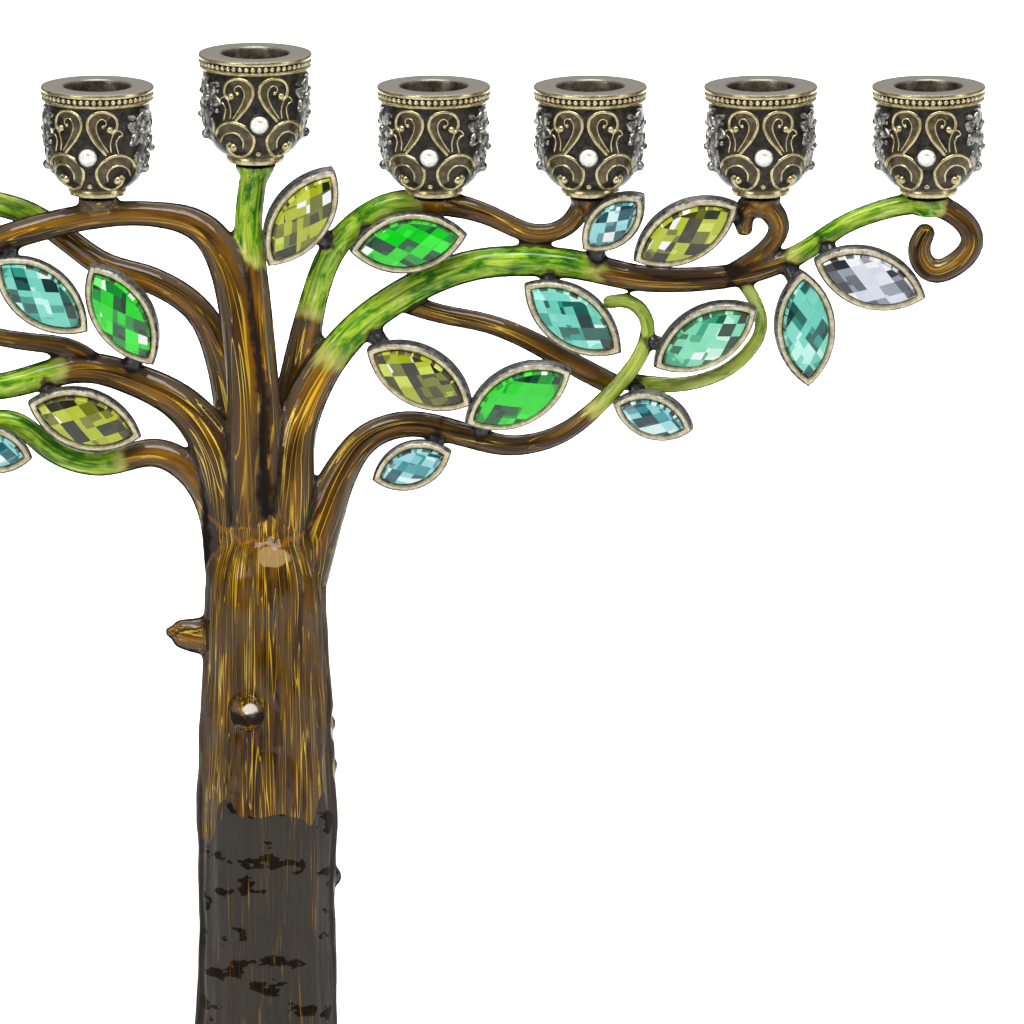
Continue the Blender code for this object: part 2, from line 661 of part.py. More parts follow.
def add_bough(name, earlier):
    """One bough with its twigs, seats and leaf settings, cut clear of all that was made before it."""
    bough = BOUGHS[name]
    samples = bough_samples(bough)
    casting = tube(name, samples)
    routes = list(samples)
    pieces = []
    for twig in bough.get("twigs", []):
        twig_samples = smooth_route(route_of(twig))[0]
        routes += twig_samples
        pieces.append(tube("twig", twig_samples))
    for cup in bough["cups"]:
        pad = turned("seat_pad", [(0, 0.5 * MM), (SEAT_PAD_RADIUS, 0.5 * MM), (SEAT_PAD_RADIUS, -0.8 * MM),
                                  (0.6 * SEAT_PAD_RADIUS, -SEAT_PAD_HEIGHT), (0, -SEAT_PAD_HEIGHT)], steps=12)
        pieces.append(placed(pad, cup_place(cup)))
    leaves = [leaf for leaf in LEAVES if leaf[1] == name]
    pockets = []
    for _, _, size, centre, angle, turn, tip_up in leaves:
        place = leaf_place(centre, angle, turn, tip_up)
        wall = STONE_GAP + SETTING_WALL
        pieces.append(prism("setting", size, wall, -SETTING_DEPTH, 0, place))
        pieces.append(tube("web", web_to(routes, place, size)))
        pockets.append(prism("pocket", size, STONE_GAP, -POCKET_DEPTH, 2 * CRYSTAL_DOME, place))
    for piece in pieces:
        boolean(casting, [piece], "UNION")
    for pocket in pockets:
        boolean(casting, [pocket], "DIFFERENCE")
    rooms = [cup_keep_out(cup) for cup in CUPS]
    rooms += [tube("stub_room", stub_samples(other), JOINT_GAP) for other in BOUGHS.values() if other["joint"]]
    rooms.append(tube("trunk_room", trunk_samples(), JOINT_GAP, rings=4))
    for other in earlier:
        rooms += bough_rooms(BOUGHS[other])
    rooms += [leaf_keep_out(leaf) for leaf in LEAVES if leaf[1] != name]
    cut_away(casting, rooms)
    return keep(casting, bough["colour"])


def foot_slope(grown=0.0):
    """The foot's upper side from its level top to its rim, as (radius along the length, height)."""
    half, low = FOOT_LENGTH / 2, FELT_THICKNESS + JOINT_GAP
    rise = FOOT_HEIGHT - JOINT_GAP
    slope = [(FOOT_TOP_LENGTH / 2, low + rise), (0.6 * half, low + FOOT_RIM + 0.42 * (rise - FOOT_RIM)),
             (half - 2 * MM, low + FOOT_RIM + 0.6 * MM), (half, low + FOOT_RIM - 0.6 * MM)]
    return [(radius + grown, height + grown) for radius, height in slope]


def foot_height(share):
    """The foot's surface at a share of the way from its middle to its rim."""
    slope = foot_slope()
    along = share * FOOT_LENGTH / 2
    for (near, high), (far, low) in zip(slope, slope[1:]):
        if near <= along <= far:
            return high + (low - high) * (along - near) / (far - near)
    return slope[0][1]


def foot_room():
    """The foot grown by the joint's gap and down past the table, which the trunk and roots keep out of."""
    slope = foot_slope(JOINT_GAP)
    bottom = -20 * MM
    profile = [(0, slope[0][1]), *slope, (slope[-1][0], bottom), (0, bottom)]
    return turned("foot_room", profile, steps=28, squash=FOOT_DEPTH / FOOT_LENGTH)


def add_foot():
    """The oval mound, hollowed below for the screw's head, and the felt under it."""
    half, low = FOOT_LENGTH / 2, FELT_THICKNESS + JOINT_GAP
    squash = FOOT_DEPTH / FOOT_LENGTH
    slope = foot_slope()
    foot = turned("foot", [(0, slope[0][1]), *slope, (half, low), (0, low)], steps=28, squash=squash)
    bore = cylinder("screw_bore", SCREW_RADIUS + SCREW_CLEARANCE, -MM, 2 * FOOT_HEIGHT, steps=12)
    head_top = low + SCREW_HEAD_HEIGHT + WASHER_THICKNESS + 3 * JOINT_GAP
    sink = cylinder("head_recess", WASHER_RADIUS + SCREW_CLEARANCE, -MM, head_top, steps=16)
    boolean(foot, [bore], "DIFFERENCE")
    boolean(foot, [sink], "DIFFERENCE")
    keep(foot, "brown")
    felt = turned("felt_pad", [(0, FELT_THICKNESS), (half - MM, FELT_THICKNESS), (half - MM, 0), (0, 0)],
                  steps=28, squash=squash, group=PARTS)
    finish(felt, "felt")


def add_trunk_screw():
    """The pan-headed screw from below and its washer, in the foot's recess."""
    low = FELT_THICKNESS + 2 * JOINT_GAP
    under_head = low + SCREW_HEAD_HEIGHT
    screw = turned("trunk_screw", [(0, under_head + SCREW_LENGTH - 4 * MM),
                                   (SCREW_RADIUS, under_head + SCREW_LENGTH - 4 * MM),
                                   (SCREW_RADIUS, under_head), (SCREW_HEAD_RADIUS, under_head),
                                   (SCREW_HEAD_RADIUS, low + 0.8 * MM), (0.7 * SCREW_HEAD_RADIUS, low), (0, low)],
                   steps=16, group=PARTS)
    finish(screw, "steel")
    inner, base = SCREW_RADIUS + 0.3 * MM, under_head + 0.5 * JOINT_GAP
    ring = [(inner, base), (inner, base + WASHER_THICKNESS), (WASHER_RADIUS, base + WASHER_THICKNESS),
            (WASHER_RADIUS, base), (inner, base)]
    finish(turned("screw_washer", ring, steps=16, group=PARTS), "steel")


clear_scene()
PARTS = collection("tree_candelabrum")
HELPERS = collection("helpers")
add_foot()
add_trunk_screw()
add_trunk()
made = []
for bough_name in ("right_main_bough", "left_main_bough", "shamash_stem", "right_upper_bough",
                   "left_upper_bough", "right_lower_bough", "left_middle_bough", "left_lower_bough",
                   "right_middle_twig", "right_tendril"):
    add_bough(bough_name, made)
    made.append(bough_name)
add_cups()
add_crystals()
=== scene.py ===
"""The looks of the tree candelabrum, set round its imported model.

A cast tree of enamelled boughs carries nine candle cups and 24 crystal leaves. The routes, cups and leaves
are the model's own, in millimetres, and all meshes are made in place, in metres.
"""

from math import asin, ceil, cos, pi, radians, sin, sqrt

import bmesh
import bpy
import numpy as np
from mathutils import Matrix, Vector


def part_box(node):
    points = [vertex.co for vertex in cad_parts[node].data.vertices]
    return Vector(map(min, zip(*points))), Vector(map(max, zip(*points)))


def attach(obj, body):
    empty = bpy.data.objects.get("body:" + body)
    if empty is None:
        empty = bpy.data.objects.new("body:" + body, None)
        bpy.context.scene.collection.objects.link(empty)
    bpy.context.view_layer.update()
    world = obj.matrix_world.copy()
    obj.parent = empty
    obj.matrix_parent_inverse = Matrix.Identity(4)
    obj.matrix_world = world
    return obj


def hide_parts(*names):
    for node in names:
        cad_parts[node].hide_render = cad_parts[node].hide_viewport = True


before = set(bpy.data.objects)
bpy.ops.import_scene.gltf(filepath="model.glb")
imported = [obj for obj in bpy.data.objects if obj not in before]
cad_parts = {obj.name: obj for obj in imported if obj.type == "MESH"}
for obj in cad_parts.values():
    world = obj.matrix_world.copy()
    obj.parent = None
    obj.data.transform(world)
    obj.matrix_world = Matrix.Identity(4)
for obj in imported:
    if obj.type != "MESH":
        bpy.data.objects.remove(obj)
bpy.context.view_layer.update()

bl_info = {
    "name": "Tree candelabrum",
    "version": (1, 0, 0),
    "blender": (4, 5, 0),
    "location": "3D View > Sidebar > Candelabrum",
    "description": "Makes the enamelled tree, its crystal leaves and its candle cups round the packed model",
    "category": "Object",
}

MM = 0.001

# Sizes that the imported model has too
CANOPY_WIDTH = 216 * MM
DRAWN_WIDTH = 216
FELT_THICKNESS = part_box("felt_pad")[1][2]
FOOT_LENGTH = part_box("foot")[1][0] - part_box("foot")[0][0]
FOOT_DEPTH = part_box("foot")[1][1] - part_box("foot")[0][1]
FOOT_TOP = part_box("foot")[1][2]
FOOT_RIM = 2.6 * MM
FOOT_TOP_LENGTH = 32 * MM
FORK = 100 * MM
CUP_LEVEL = 58.3 * MM
SHAMASH_RISE = 5 * MM
JOINT_GAP = 0.3 * MM
TRUNK_RADIUS, TRUNK_WAIST, TRUNK_FLARE, TRUNK_LEAN = 10.3 * MM, 9.3 * MM, 13.5 * MM, 0.6 * MM
ROOT_COUNT, ROOT_RADIUS, ROOT_REACH = 7, 4.6 * MM, 0.86
SEAT_PAD_RADIUS, SEAT_PAD_HEIGHT = 3.0 * MM, 3.2 * MM
LARGE, SMALL = (15 * MM, 7 * MM), (10 * MM, 5 * MM)
STONE_GAP, SETTING_WALL, SETTING_DEPTH, POCKET_DEPTH = 0.25 * MM, 0.9 * MM, 3.2 * MM, 2.3 * MM
CRYSTAL_DOME = 1.5 * MM
LEAF_RIM_Y = -4.8 * MM
CROWN_LEVEL = 119 * MM
WEB_RADIUS = 1.25 * MM
STONE_RADIUS, STONE_HEIGHT, STONE_WALL, STONE_STANDS = 1.5, 7.1, 7.55, 0.7

# The boughs' routes in millimetres as (across, up from the fork, back, radius). The points before the
# joint belong to the trunk. Spans of green enamel are given as (across from, across to), and on the steep
# ones as (up from, up to).
BOUGHS = {
    "shamash_stem": {
        "joint": 2, "green_up": (47, 99), "cups": ["shamash"], "slot": "green_enamel",
        "route": [(0, 6, -2, 3.6), (0, 20, -3, 3.4), (-1, 39, -2.5, 2.8), (-1.5, 48, -1, 2.3), (-2, 54, 0, 2.1),
                  (-1, 62.5, 0, 2.1)],
    },
    "right_main_bough": {
        "joint": 3, "green": [(10, 50.7), (79, 103)], "cups": ["right_3", "right_4"], "slot": "green_enamel",
        "route": [(3.2, 2.5, -1, 4.5), (4, 13.5, -2, 4.0), (5.2, 23.5, -1.8, 3.2), (10.3, 33.4, 0, 2.6),
                  (18.5, 41.5, 0, 2.4), (31, 47.5, 0, 2.4), (45, 48, 0, 2.3), (57.5, 45.5, 0, 2.0),
                  (70.5, 46, 0, 1.8), (80, 49, 0, 1.6), (88.5, 54.5, 0, 1.5), (99.5, 57.2, 0, 1.7),
                  (106, 53.5, 0, 1.7), (106, 49.5, 0, 1.8), (100.5, 46.2, 0, 1.8), (98, 50, 0, 1.8),
                  (99.4, 52.6, 0, 1.5)],
        "brown_after": 11,
        "twigs": [[(70, 46, 0, 1.6), (75, 49.5, 0, 1.4), (77.9, 53.5, 0, 1.6), (75, 57.2, 0, 2.0),
                   (71.9, 56.2, 0, 1.8), (72.3, 53.2, 0, 1.3)]],
    },
    "left_main_bough": {
        "joint": 3, "green": [(-99, -62)], "cups": ["left_1", "left_4"], "slot": "brown_enamel",
        "route": [(-1, 6, -2, 4.2), (-1.5, 21.5, -3, 3.8), (-2, 32, -3, 3.4), (-4.5, 46.5, -1.5, 3.0),
                  (-9, 53.5, 0, 2.4), (-17, 55.5, 0, 1.9), (-26, 55, 0, 2.0), (-35, 53, -0.8, 2.1),
                  (-47, 49, 0, 2.1), (-65, 45.5, 0, 2.0), (-75, 46, 0, 1.8), (-84.5, 51, 0, 1.5),
                  (-91, 55.3, 0, 1.5), (-99.5, 57.2, 0, 1.7), (-106, 53.5, 0, 1.7), (-106, 49.5, 0, 1.8),
                  (-100.5, 46.2, 0, 1.8), (-98, 50, 0, 1.6), (-99, 52.5, 0, 1.2)],
        "brown_after": 13,
    },
    "right_upper_bough": {
        "joint": 3, "green_up": (40, 99), "green": [(0, 24)], "cups": ["right_1", "right_2"],
        "slot": "green_enamel",
        "route": [(3, 4, 3, 4.0), (4, 18.5, 3.5, 3.6), (5.5, 29.5, 3, 3.0), (7.5, 41, 1.5, 2.1),
                  (11, 50.5, 0, 2.0), (18, 56.5, 0, 1.9), (26, 57.2, 0, 2.0), (33.5, 55.5, 0, 1.6),
                  (40.5, 52.2, 0.6, 1.5), (46, 53.5, 0.4, 1.5), (48.7, 58, 0, 1.8)],
    },
    "left_upper_bough": {
        "joint": 3, "green": [(-58, -31)], "cups": ["left_2", "left_3"], "slot": "green_enamel",
        "route": [(-2.5, 3.5, 3, 4.0), (-3.5, 17, 3.5, 3.6), (-4.6, 28, 3.4, 3.0), (-8.8, 39.6, 1.6, 2.2),
                  (-16, 45, 1, 2.1), (-23.5, 47.2, 1.5, 2.0), (-30, 51.4, 4.4, 1.9), (-35, 54.8, 4.0, 1.9),
                  (-42, 57.2, 0.8, 1.9), (-49, 57.2, 0, 2.0), (-57, 55.5, 0, 1.6), (-64, 52.2, 0.6, 1.5),
                  (-70, 53.5, 0.4, 1.5), (-73.2, 58, 0, 1.8)],
    },
    "right_lower_bough": {
        "joint": 3, "green": [(49.5, 99)], "cups": [], "slot": "brown_enamel",
        "route": [(4, -3.5, 0, 5.0), (6.5, 3.5, -1, 4.4), (9, 9.5, -1, 3.4), (11.5, 15.5, -0.5, 2.7),
                  (15.5, 21.2, 0, 2.2), (22, 23.5, 0, 2.0), (29.5, 22, 0, 1.9), (37, 20, 0, 1.6),
                  (45, 22, -0.8, 1.5), (52, 28, -1.6, 1.3), (56.8, 34, -0.8, 1.2), (58, 39, 0, 1.1),
                  (55.3, 42.3, 0, 1.1), (52, 42, 0, 1.0)],
    },
    "left_middle_bough": {
        "joint": 3, "green": [(-99, -29.5)], "cups": [], "slot": "brown_enamel",
        "route": [(-4, -0.5, 0, 4.4), (-5, 10.5, -0.5, 4.0), (-7, 20, -1, 3.6), (-12, 26.5, 0, 2.9),
                  (-20, 30.5, 0, 2.5), (-27.5, 32, 0, 2.3), (-39.5, 29, 0, 2.0), (-52.5, 28.5, 0, 1.6),
                  (-61.5, 32.5, 0, 1.4), (-64.5, 38.5, 0, 1.3), (-61.5, 42.6, 0, 1.1)],
        "twigs": [[(-23.5, 31.3, 0, 1.6), (-28.5, 35, 0, 1.5), (-37, 36.2, 0, 1.4), (-44.5, 38, 0.5, 1.3),
                   (-50.5, 42.6, 0.5, 1.2)]],
    },
    "left_lower_bough": {
        "joint": 3, "green": [(-99, -20.5)], "cups": [], "slot": "green_enamel",
        "route": [(-3, -5.5, 1, 5.0), (-4.6, 2.5, 0.5, 4.2), (-6.5, 10, 0, 3.1), (-10, 15.8, 0, 2.5),
                  (-16, 19.2, 0, 2.2), (-24, 17.2, 0, 1.9), (-31, 19, 0, 1.8), (-37.5, 24, 0, 1.7),
                  (-46, 22.5, 0, 1.5), (-56.5, 21.5, 0, 1.3), (-65.5, 28, 0, 1.2), (-70.5, 37.5, 0, 1.1),
                  (-70.2, 44.2, 0, 1.1)],
    },
    "right_middle_twig": {
        "joint": 0, "green": [], "cups": [], "slot": "brown_enamel",
        "route": [(20.5, 42, 1.2, 1.6), (26.5, 40, 1.2, 1.5), (34, 38.5, 1.2, 1.5), (40, 36, 1.4, 1.6),
                  (46.5, 32.2, 2.2, 1.7), (53, 28.5, 3.4, 1.7)],
    },
    "right_tendril": {
        "joint": 0, "green": [(0, 99)], "cups": [], "slot": "green_enamel",
        "route": [(54.5, 29.5, 2.0, 1.4), (58.5, 29.2, 1.2, 1.3), (64, 29.5, 0, 1.1), (70.5, 32, 0, 1.1),
                  (75, 37.5, 0, 1.0), (74, 42, 0, 1.0), (71.5, 46, 0, 1.1)],
    },
}

# Where each cup stands along the canopy, and how far its front is turned, in degrees
CUPS = {
    "shamash": (-0.9, 5), "right_1": (25.8, -5), "right_2": (49.2, -2), "right_3": (74.7, 3),
    "right_4": (99.8, -3), "left_1": (-24.5, -10), "left_2": (-49.2, 4), "left_3": (-74, -3),
    "left_4": (-99.8, 6),
}

# Leaves: name, bough, crystal size, (across, up), angle of its length, turn to the right and tip upwards
LEAVES = [
    ("olive_1", "right_upper_bough", LARGE, (6.1, 55.6), 57, 10, -8),
    ("green_1", "right_upper_bough", LARGE, (22, 51.8), 8, 0, 0),
    ("aqua_1", "right_main_bough", SMALL, (52.5, 54.8), 43, -10, -8),
    ("olive_2", "right_main_bough", LARGE, (63.5, 53.3), 29, 4, -8),
    ("teal_1", "right_main_bough", LARGE, (46.5, 40.3), -35, -5, 0),
    ("emerald_1", "right_lower_bough", LARGE, (66.5, 37.3), 30, 6, -8),
    ("teal_2", "right_main_bough", LARGE, (81.5, 38.8), 93, 10, 0),
    ("clear_1", "right_main_bough", LARGE, (91, 46.3), -19, 0, -4),
    ("olive_3", "right_main_bough", LARGE, (23.5, 31.3), -28, -8, -8),
    ("green_2", "right_lower_bough", LARGE, (38.5, 28.3), 27, 6, -8),
    ("aqua_2", "right_lower_bough", SMALL, (22.5, 17.8), 20, 0, 0),
    ("aqua_3", "right_tendril", SMALL, (58.5, 25.3), -18, -8, -6),
    ("teal_3", "left_main_bough", LARGE, (-33, 43.8), -38, 0, 0),
    ("green_3", "left_middle_bough", LARGE, (-21, 40.8), -58, -10, -4),
    ("olive_4", "left_middle_bough", LARGE, (-26.5, 24.8), -17, 0, -4),
    ("aqua_4", "left_lower_bough", SMALL, (-40.5, 20.3), -12, 0, 0),
    ("green_4", "left_upper_bough", LARGE, (-50, 52.3), -8, 0, -4),
    ("aqua_5", "left_upper_bough", SMALL, (-78, 53.6), 137, 8, -8),
    ("teal_4", "left_main_bough", LARGE, (-81.5, 38.8), 86, -8, 0),
    ("clear_2", "left_main_bough", LARGE, (-91, 46.3), 19, 0, -4),
    ("emerald_2", "left_middle_bough", LARGE, (-48, 34.8), 30, 5, -8),
    ("aqua_6", "left_middle_bough", SMALL, (-57.5, 39.8), -60, -6, -4),
    ("aqua_7", "left_lower_bough", SMALL, (-54, 16.8), 14, 0, -4),
    ("olive_5", "left_lower_bough", LARGE, (-57.5, 26.2), -20, -4, -6),
]

# Each crystal's painted reflection tones, from the darkest facet to the palest
CRYSTAL_TONES = {
    "olive": [(0.012, 0.014, 0.004), (0.045, 0.045, 0.006), (0.17, 0.19, 0.006), (0.46, 0.54, 0.01), (0.66, 0.74, 0.1)],
    "green": [(0.003, 0.03, 0.014), (0.004, 0.1, 0.03), (0.0, 0.3, 0.03), (0.0, 0.7, 0.01), (0.02, 0.9, 0.03)],
    "teal": [(0.003, 0.03, 0.03), (0.006, 0.11, 0.09), (0.02, 0.32, 0.25), (0.16, 0.68, 0.55), (0.55, 0.95, 0.85)],
    "aqua": [(0.005, 0.035, 0.045), (0.015, 0.11, 0.13), (0.06, 0.33, 0.36), (0.3, 0.7, 0.73), (0.75, 0.97, 0.97)],
    "emerald": [(0.003, 0.035, 0.02), (0.006, 0.13, 0.06), (0.03, 0.38, 0.2), (0.2, 0.74, 0.46), (0.6, 0.95, 0.75)],
    "clear": [(0.02, 0.022, 0.03), (0.09, 0.1, 0.13), (0.3, 0.32, 0.4), (0.72, 0.76, 0.86), (0.97, 0.98, 1.0)],
}


# Settings that a user may change


def size_property(name, description, default, low, high):
    """A length in the panel, in metres."""
    return bpy.props.FloatProperty(name=name, description=description, default=default, min=low, max=high,
                                   precision=5, unit="LENGTH", subtype="DISTANCE")


def colour_property(name, description, default):
    """A colour in the panel."""
    return bpy.props.FloatVectorProperty(name=name, description=description, default=default, min=0, max=1,
                                         size=3, subtype="COLOR")


class CandelabrumSizes(bpy.types.PropertyGroup):
    """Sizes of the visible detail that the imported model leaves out."""

    skin: size_property("Skin detail", "Size of the casting's smallest facets", 0.42 * MM, 0.2 * MM, 1 * MM)
    bark_relief: size_property("Bark relief", "Height of the trunk's lengthwise ridges", 0.3 * MM, 0, MM)
    bough_relief: size_property("Bough relief", "Height of the boughs' lengthwise ridges", 0.1 * MM, 0, MM)
    trunk_swell: size_property("Trunk swell", "How far the trunk's sides wander", 0.55 * MM, 0, 2 * MM)
    bead_radius: size_property("Bead radius", "Radius of the beads under a cup's rim", 0.42 * MM, 0.1 * MM, MM)
    bead_count: bpy.props.IntProperty(name="Beads", description="Beads under a cup's rim", default=52, min=8, max=90)
    ridge_radius: size_property("Scroll ridge", "Radius of the cups' scroll ridges", 0.27 * MM, 0.1 * MM, MM)
    facet_edge: size_property("Facet edge", "Edge of a large crystal's facets", 2.1 * MM, MM, 4 * MM)


class CandelabrumColours(bpy.types.PropertyGroup):
    """Colours of the enamel and the metal."""

    brown_dark: colour_property("Dark brown", "The deepest brown of the enamel", (0.02, 0.01, 0.004))
    brown: colour_property("Brown", "The brown between the gold lines", (0.085, 0.035, 0.005))
    amber: colour_property("Amber", "Where the brown enamel is thin", (0.29, 0.125, 0.005))
    gold: colour_property("Gold lines", "The bright lines under the brown enamel", (0.8, 0.46, 0.014))
    green_dark: colour_property("Dark green", "The deepest green of the enamel", (0.015, 0.1, 0.005))
    green: colour_property("Green", "The middle green of the enamel", (0.13, 0.37, 0.008))
    lime: colour_property("Lime", "Where the green enamel is thin", (0.4, 0.6, 0.04))
    gunmetal: colour_property("Gunmetal", "The dark bare metal", (0.03, 0.029, 0.032))
    old_gold: colour_property("Old gold", "The rubbed edges of the metal", (0.8, 0.7, 0.42))


class CandelabrumStage(bpy.types.PropertyGroup):
    """The stage's light."""

    daylight: bpy.props.FloatProperty(name="Surrounding light", description="Strength of the light from all round",
                                      default=0.3, min=0, max=5)
    softbox: bpy.props.FloatProperty(name="Softboxes", description="Power of the largest lamp in watts",
                                     default=2.0, min=0, max=500)


def sizes():
    return bpy.context.scene.candelabrum_sizes


def colours():
    return bpy.context.scene.candelabrum_colours


# Node trees


class Nodes:
    """A node tree in the making, with short calls for the nodes it needs. Values are numbers or sockets."""

    def __init__(self, tree):
        self.tree = tree

    def feed(self, socket, value):
        if isinstance(value, bpy.types.NodeSocket):
            self.tree.links.new(value, socket)
        else:
            socket.default_value = value

    def node(self, kind, inputs=None, **choices):
        made = self.tree.nodes.new(kind)
        for key, value in choices.items():
            setattr(made, key, value)
        for key, value in (inputs or {}).items():
            self.feed(made.inputs[key], value)
        return made

    def math(self, operation, a, b=0.0, clamp=False):
        return self.node("ShaderNodeMath", {0: a, 1: b}, operation=operation, use_clamp=clamp).outputs[0]

    def stretch(self, vector, scale):
        return self.node("ShaderNodeVectorMath", {0: vector, 1: scale}, operation="MULTIPLY").outputs[0]

    def shift(self, vector, offset):
        return self.node("ShaderNodeVectorMath", {0: vector, 1: offset}, operation="ADD").outputs[0]

    def parts(self, vector):
        return self.node("ShaderNodeSeparateXYZ", {0: vector}).outputs

    def noise(self, vector, scale, detail=2.0, roughness=0.5, distortion=0.0):
        return self.node("ShaderNodeTexNoise", {"Vector": vector, "Scale": scale, "Detail": detail,
                                                "Roughness": roughness, "Distortion": distortion}).outputs[0]

    def cells(self, vector, scale, feature="F1", randomness=1.0):
        """A random number for each cell."""
        node = self.node("ShaderNodeTexVoronoi", {"Vector": vector, "Scale": scale, "Randomness": randomness},
                         feature=feature)
        return self.parts(node.outputs["Color"])

    def step(self, value, low, high, start=0.0, end=1.0, soft=True):
        kind = "SMOOTHSTEP" if soft else "LINEAR"
        return self.node("ShaderNodeMapRange", {0: value, 1: low, 2: high, 3: start, 4: end},
                         interpolation_type=kind).outputs[0]

    def mix(self, factor, a, b):
        node = self.node("ShaderNodeMix", {0: factor, 6: a, 7: b}, data_type="RGBA")
        return node.outputs[2]

    def ramp(self, value, stops, kind="LINEAR"):
        node = self.node("ShaderNodeValToRGB", {0: value})
        node.color_ramp.interpolation = kind
        for index, (place, colour) in enumerate(stops):
            element = node.color_ramp.elements[index] if index < 2 else node.color_ramp.elements.new(place)
            element.position = place
            element.color = (*colour, 1)
        return node.outputs[0]


class Finish(Nodes):
    """A material in the making."""

    def __init__(self, name):
        self.material = bpy.data.materials.new(name)
        self.material.use_nodes = True
        super().__init__(self.material.node_tree)
        self.shader = self.tree.nodes["Principled BSDF"]

    def attribute(self, name):
        return self.node("ShaderNodeAttribute", attribute_name=name)

    def place(self):
        """Object coordinates in millimetres."""
        return self.stretch(self.node("ShaderNodeTexCoord").outputs["Object"], (1000, 1000, 1000))

    def bump(self, height, strength=0.5, distance=0.1 * MM):
        return self.node("ShaderNodeBump", {"Strength": strength, "Distance": distance, "Height": height}).outputs[0]

    def set(self, **values):
        for key, value in values.items():
            self.feed(self.shader.inputs[key.replace("_", " ").title().replace("Ior", "IOR")], value)
        return self.material


def four(colour):
    return (*colour[:3], 1)


class Shaper(Nodes):
    """A geometry node tree in the making. Its inputs are named, and it ends in real geometry with a material."""

    def __init__(self, name, **inputs):
        self.group = bpy.data.node_groups.new(name, "GeometryNodeTree")
        super().__init__(self.group)
        face = self.group.interface
        face.new_socket("Geometry", in_out="INPUT", socket_type="NodeSocketGeometry")
        for key, (kind, default) in inputs.items():
            made = face.new_socket(key.replace("_", " "), in_out="INPUT", socket_type=f"NodeSocket{kind}")
            made.default_value = default
        face.new_socket("Material", in_out="INPUT", socket_type="NodeSocketMaterial")
        face.new_socket("Geometry", in_out="OUTPUT", socket_type="NodeSocketGeometry")
        self.start = self.group.nodes.new("NodeGroupInput")
        self.given = {socket.name: socket for socket in self.start.outputs}

    def named(self, name, kind="FLOAT"):
        return self.node("GeometryNodeInputNamedAttribute", {"Name": name}, data_type=kind).outputs[0]

    def finish(self, geometry):
        real = self.node("GeometryNodeRealizeInstances", {0: geometry}).outputs[0]
        covered = self.node("GeometryNodeSetMaterial", {"Geometry": real, "Material": self.given["Material"]})
        end = self.group.nodes.new("NodeGroupOutput")
        self.tree.links.new(covered.outputs[0], end.inputs[0])
        return self.group


def shaped(mesh, tree, material, **values):
    """The mesh that the tree makes of this one, as a plain mesh."""
    obj = bpy.data.objects.new(mesh.name, mesh)
    bpy.context.scene.collection.objects.link(obj)
    modifier = obj.modifiers.new("shape", "NODES")
    modifier.node_group = tree
    keys = {item.name: item.identifier for item in tree.interface.items_tree if item.in_out == "INPUT"}
    modifier[keys["Material"]] = material
    for key, value in values.items():
        modifier[keys[key.replace("_", " ")]] = value
    bpy.context.view_layer.update()
    graph = bpy.context.evaluated_depsgraph_get()
    made = bpy.data.meshes.new_from_object(obj.evaluated_get(graph), preserve_all_data_layers=True,
                                           depsgraph=graph)
    bpy.data.objects.remove(obj)
    return made


def tree_named(name, build):
    return bpy.data.node_groups.get(name) or build(name)


def build_bar_tree(name):
    """A round bar along every line of a mesh, as thick at each point as its attribute says."""
    g = Shaper(name, Sides=("Int", 16))
    curve = g.node("GeometryNodeMeshToCurve", {0: g.given["Geometry"]}).outputs[0]
    ring = g.node("GeometryNodeCurvePrimitiveCircle", {"Resolution": g.given["Sides"], "Radius": 1.0}).outputs[0]
    bar = g.node("GeometryNodeCurveToMesh", {"Curve": curve, "Profile Curve": ring,
                                             "Scale": g.named("thick"), "Fill Caps": True}).outputs[0]
    return g.finish(g.node("GeometryNodeSetShadeSmooth", {"Geometry": bar}).outputs[0])


def build_relief_tree(name):
    """Moves a casting's skin in and out: ridges that run along the grain, and slow swells."""
    g = Shaper(name, Ridge_scale=("Float", 0.8), Ridge_length=("Float", 14.0), Swell_scale=("Float", 0.11),
               Seed=("Float", 3.0))
    grain = g.named("grain", "FLOAT_VECTOR")
    long = g.node("ShaderNodeVectorMath", {0: grain, 1: (1, 1, 0)}, operation="MULTIPLY").outputs[0]
    along = g.math("DIVIDE", g.parts(grain)[2], g.given["Ridge length"])
    long = g.shift(long, g.node("ShaderNodeCombineXYZ", {2: along}).outputs[0])
    fine = g.node("ShaderNodeTexNoise", {"Vector": long, "W": g.given["Seed"], "Scale": g.given["Ridge scale"],
                                         "Detail": 2.5}, noise_dimensions="4D").outputs[0]
    place = g.stretch(g.node("GeometryNodeInputPosition").outputs[0], (1000, 1000, 1000))
    slow = g.node("ShaderNodeTexNoise", {"Vector": place, "W": g.given["Seed"], "Scale": g.given["Swell scale"],
                                         "Detail": 1.0}, noise_dimensions="4D").outputs[0]
    height = g.math("ADD", g.math("MULTIPLY", g.math("SUBTRACT", fine, 0.5), g.named("ridge")),
                    g.math("MULTIPLY", g.math("SUBTRACT", slow, 0.5), g.named("swell")))
    normal = g.node("GeometryNodeInputNormal").outputs[0]
    offset = g.node("ShaderNodeVectorMath", {0: normal, "Scale": height}, operation="SCALE").outputs[0]
    return g.finish(g.node("GeometryNodeSetPosition", {"Geometry": g.given["Geometry"], "Offset": offset}).outputs[0])


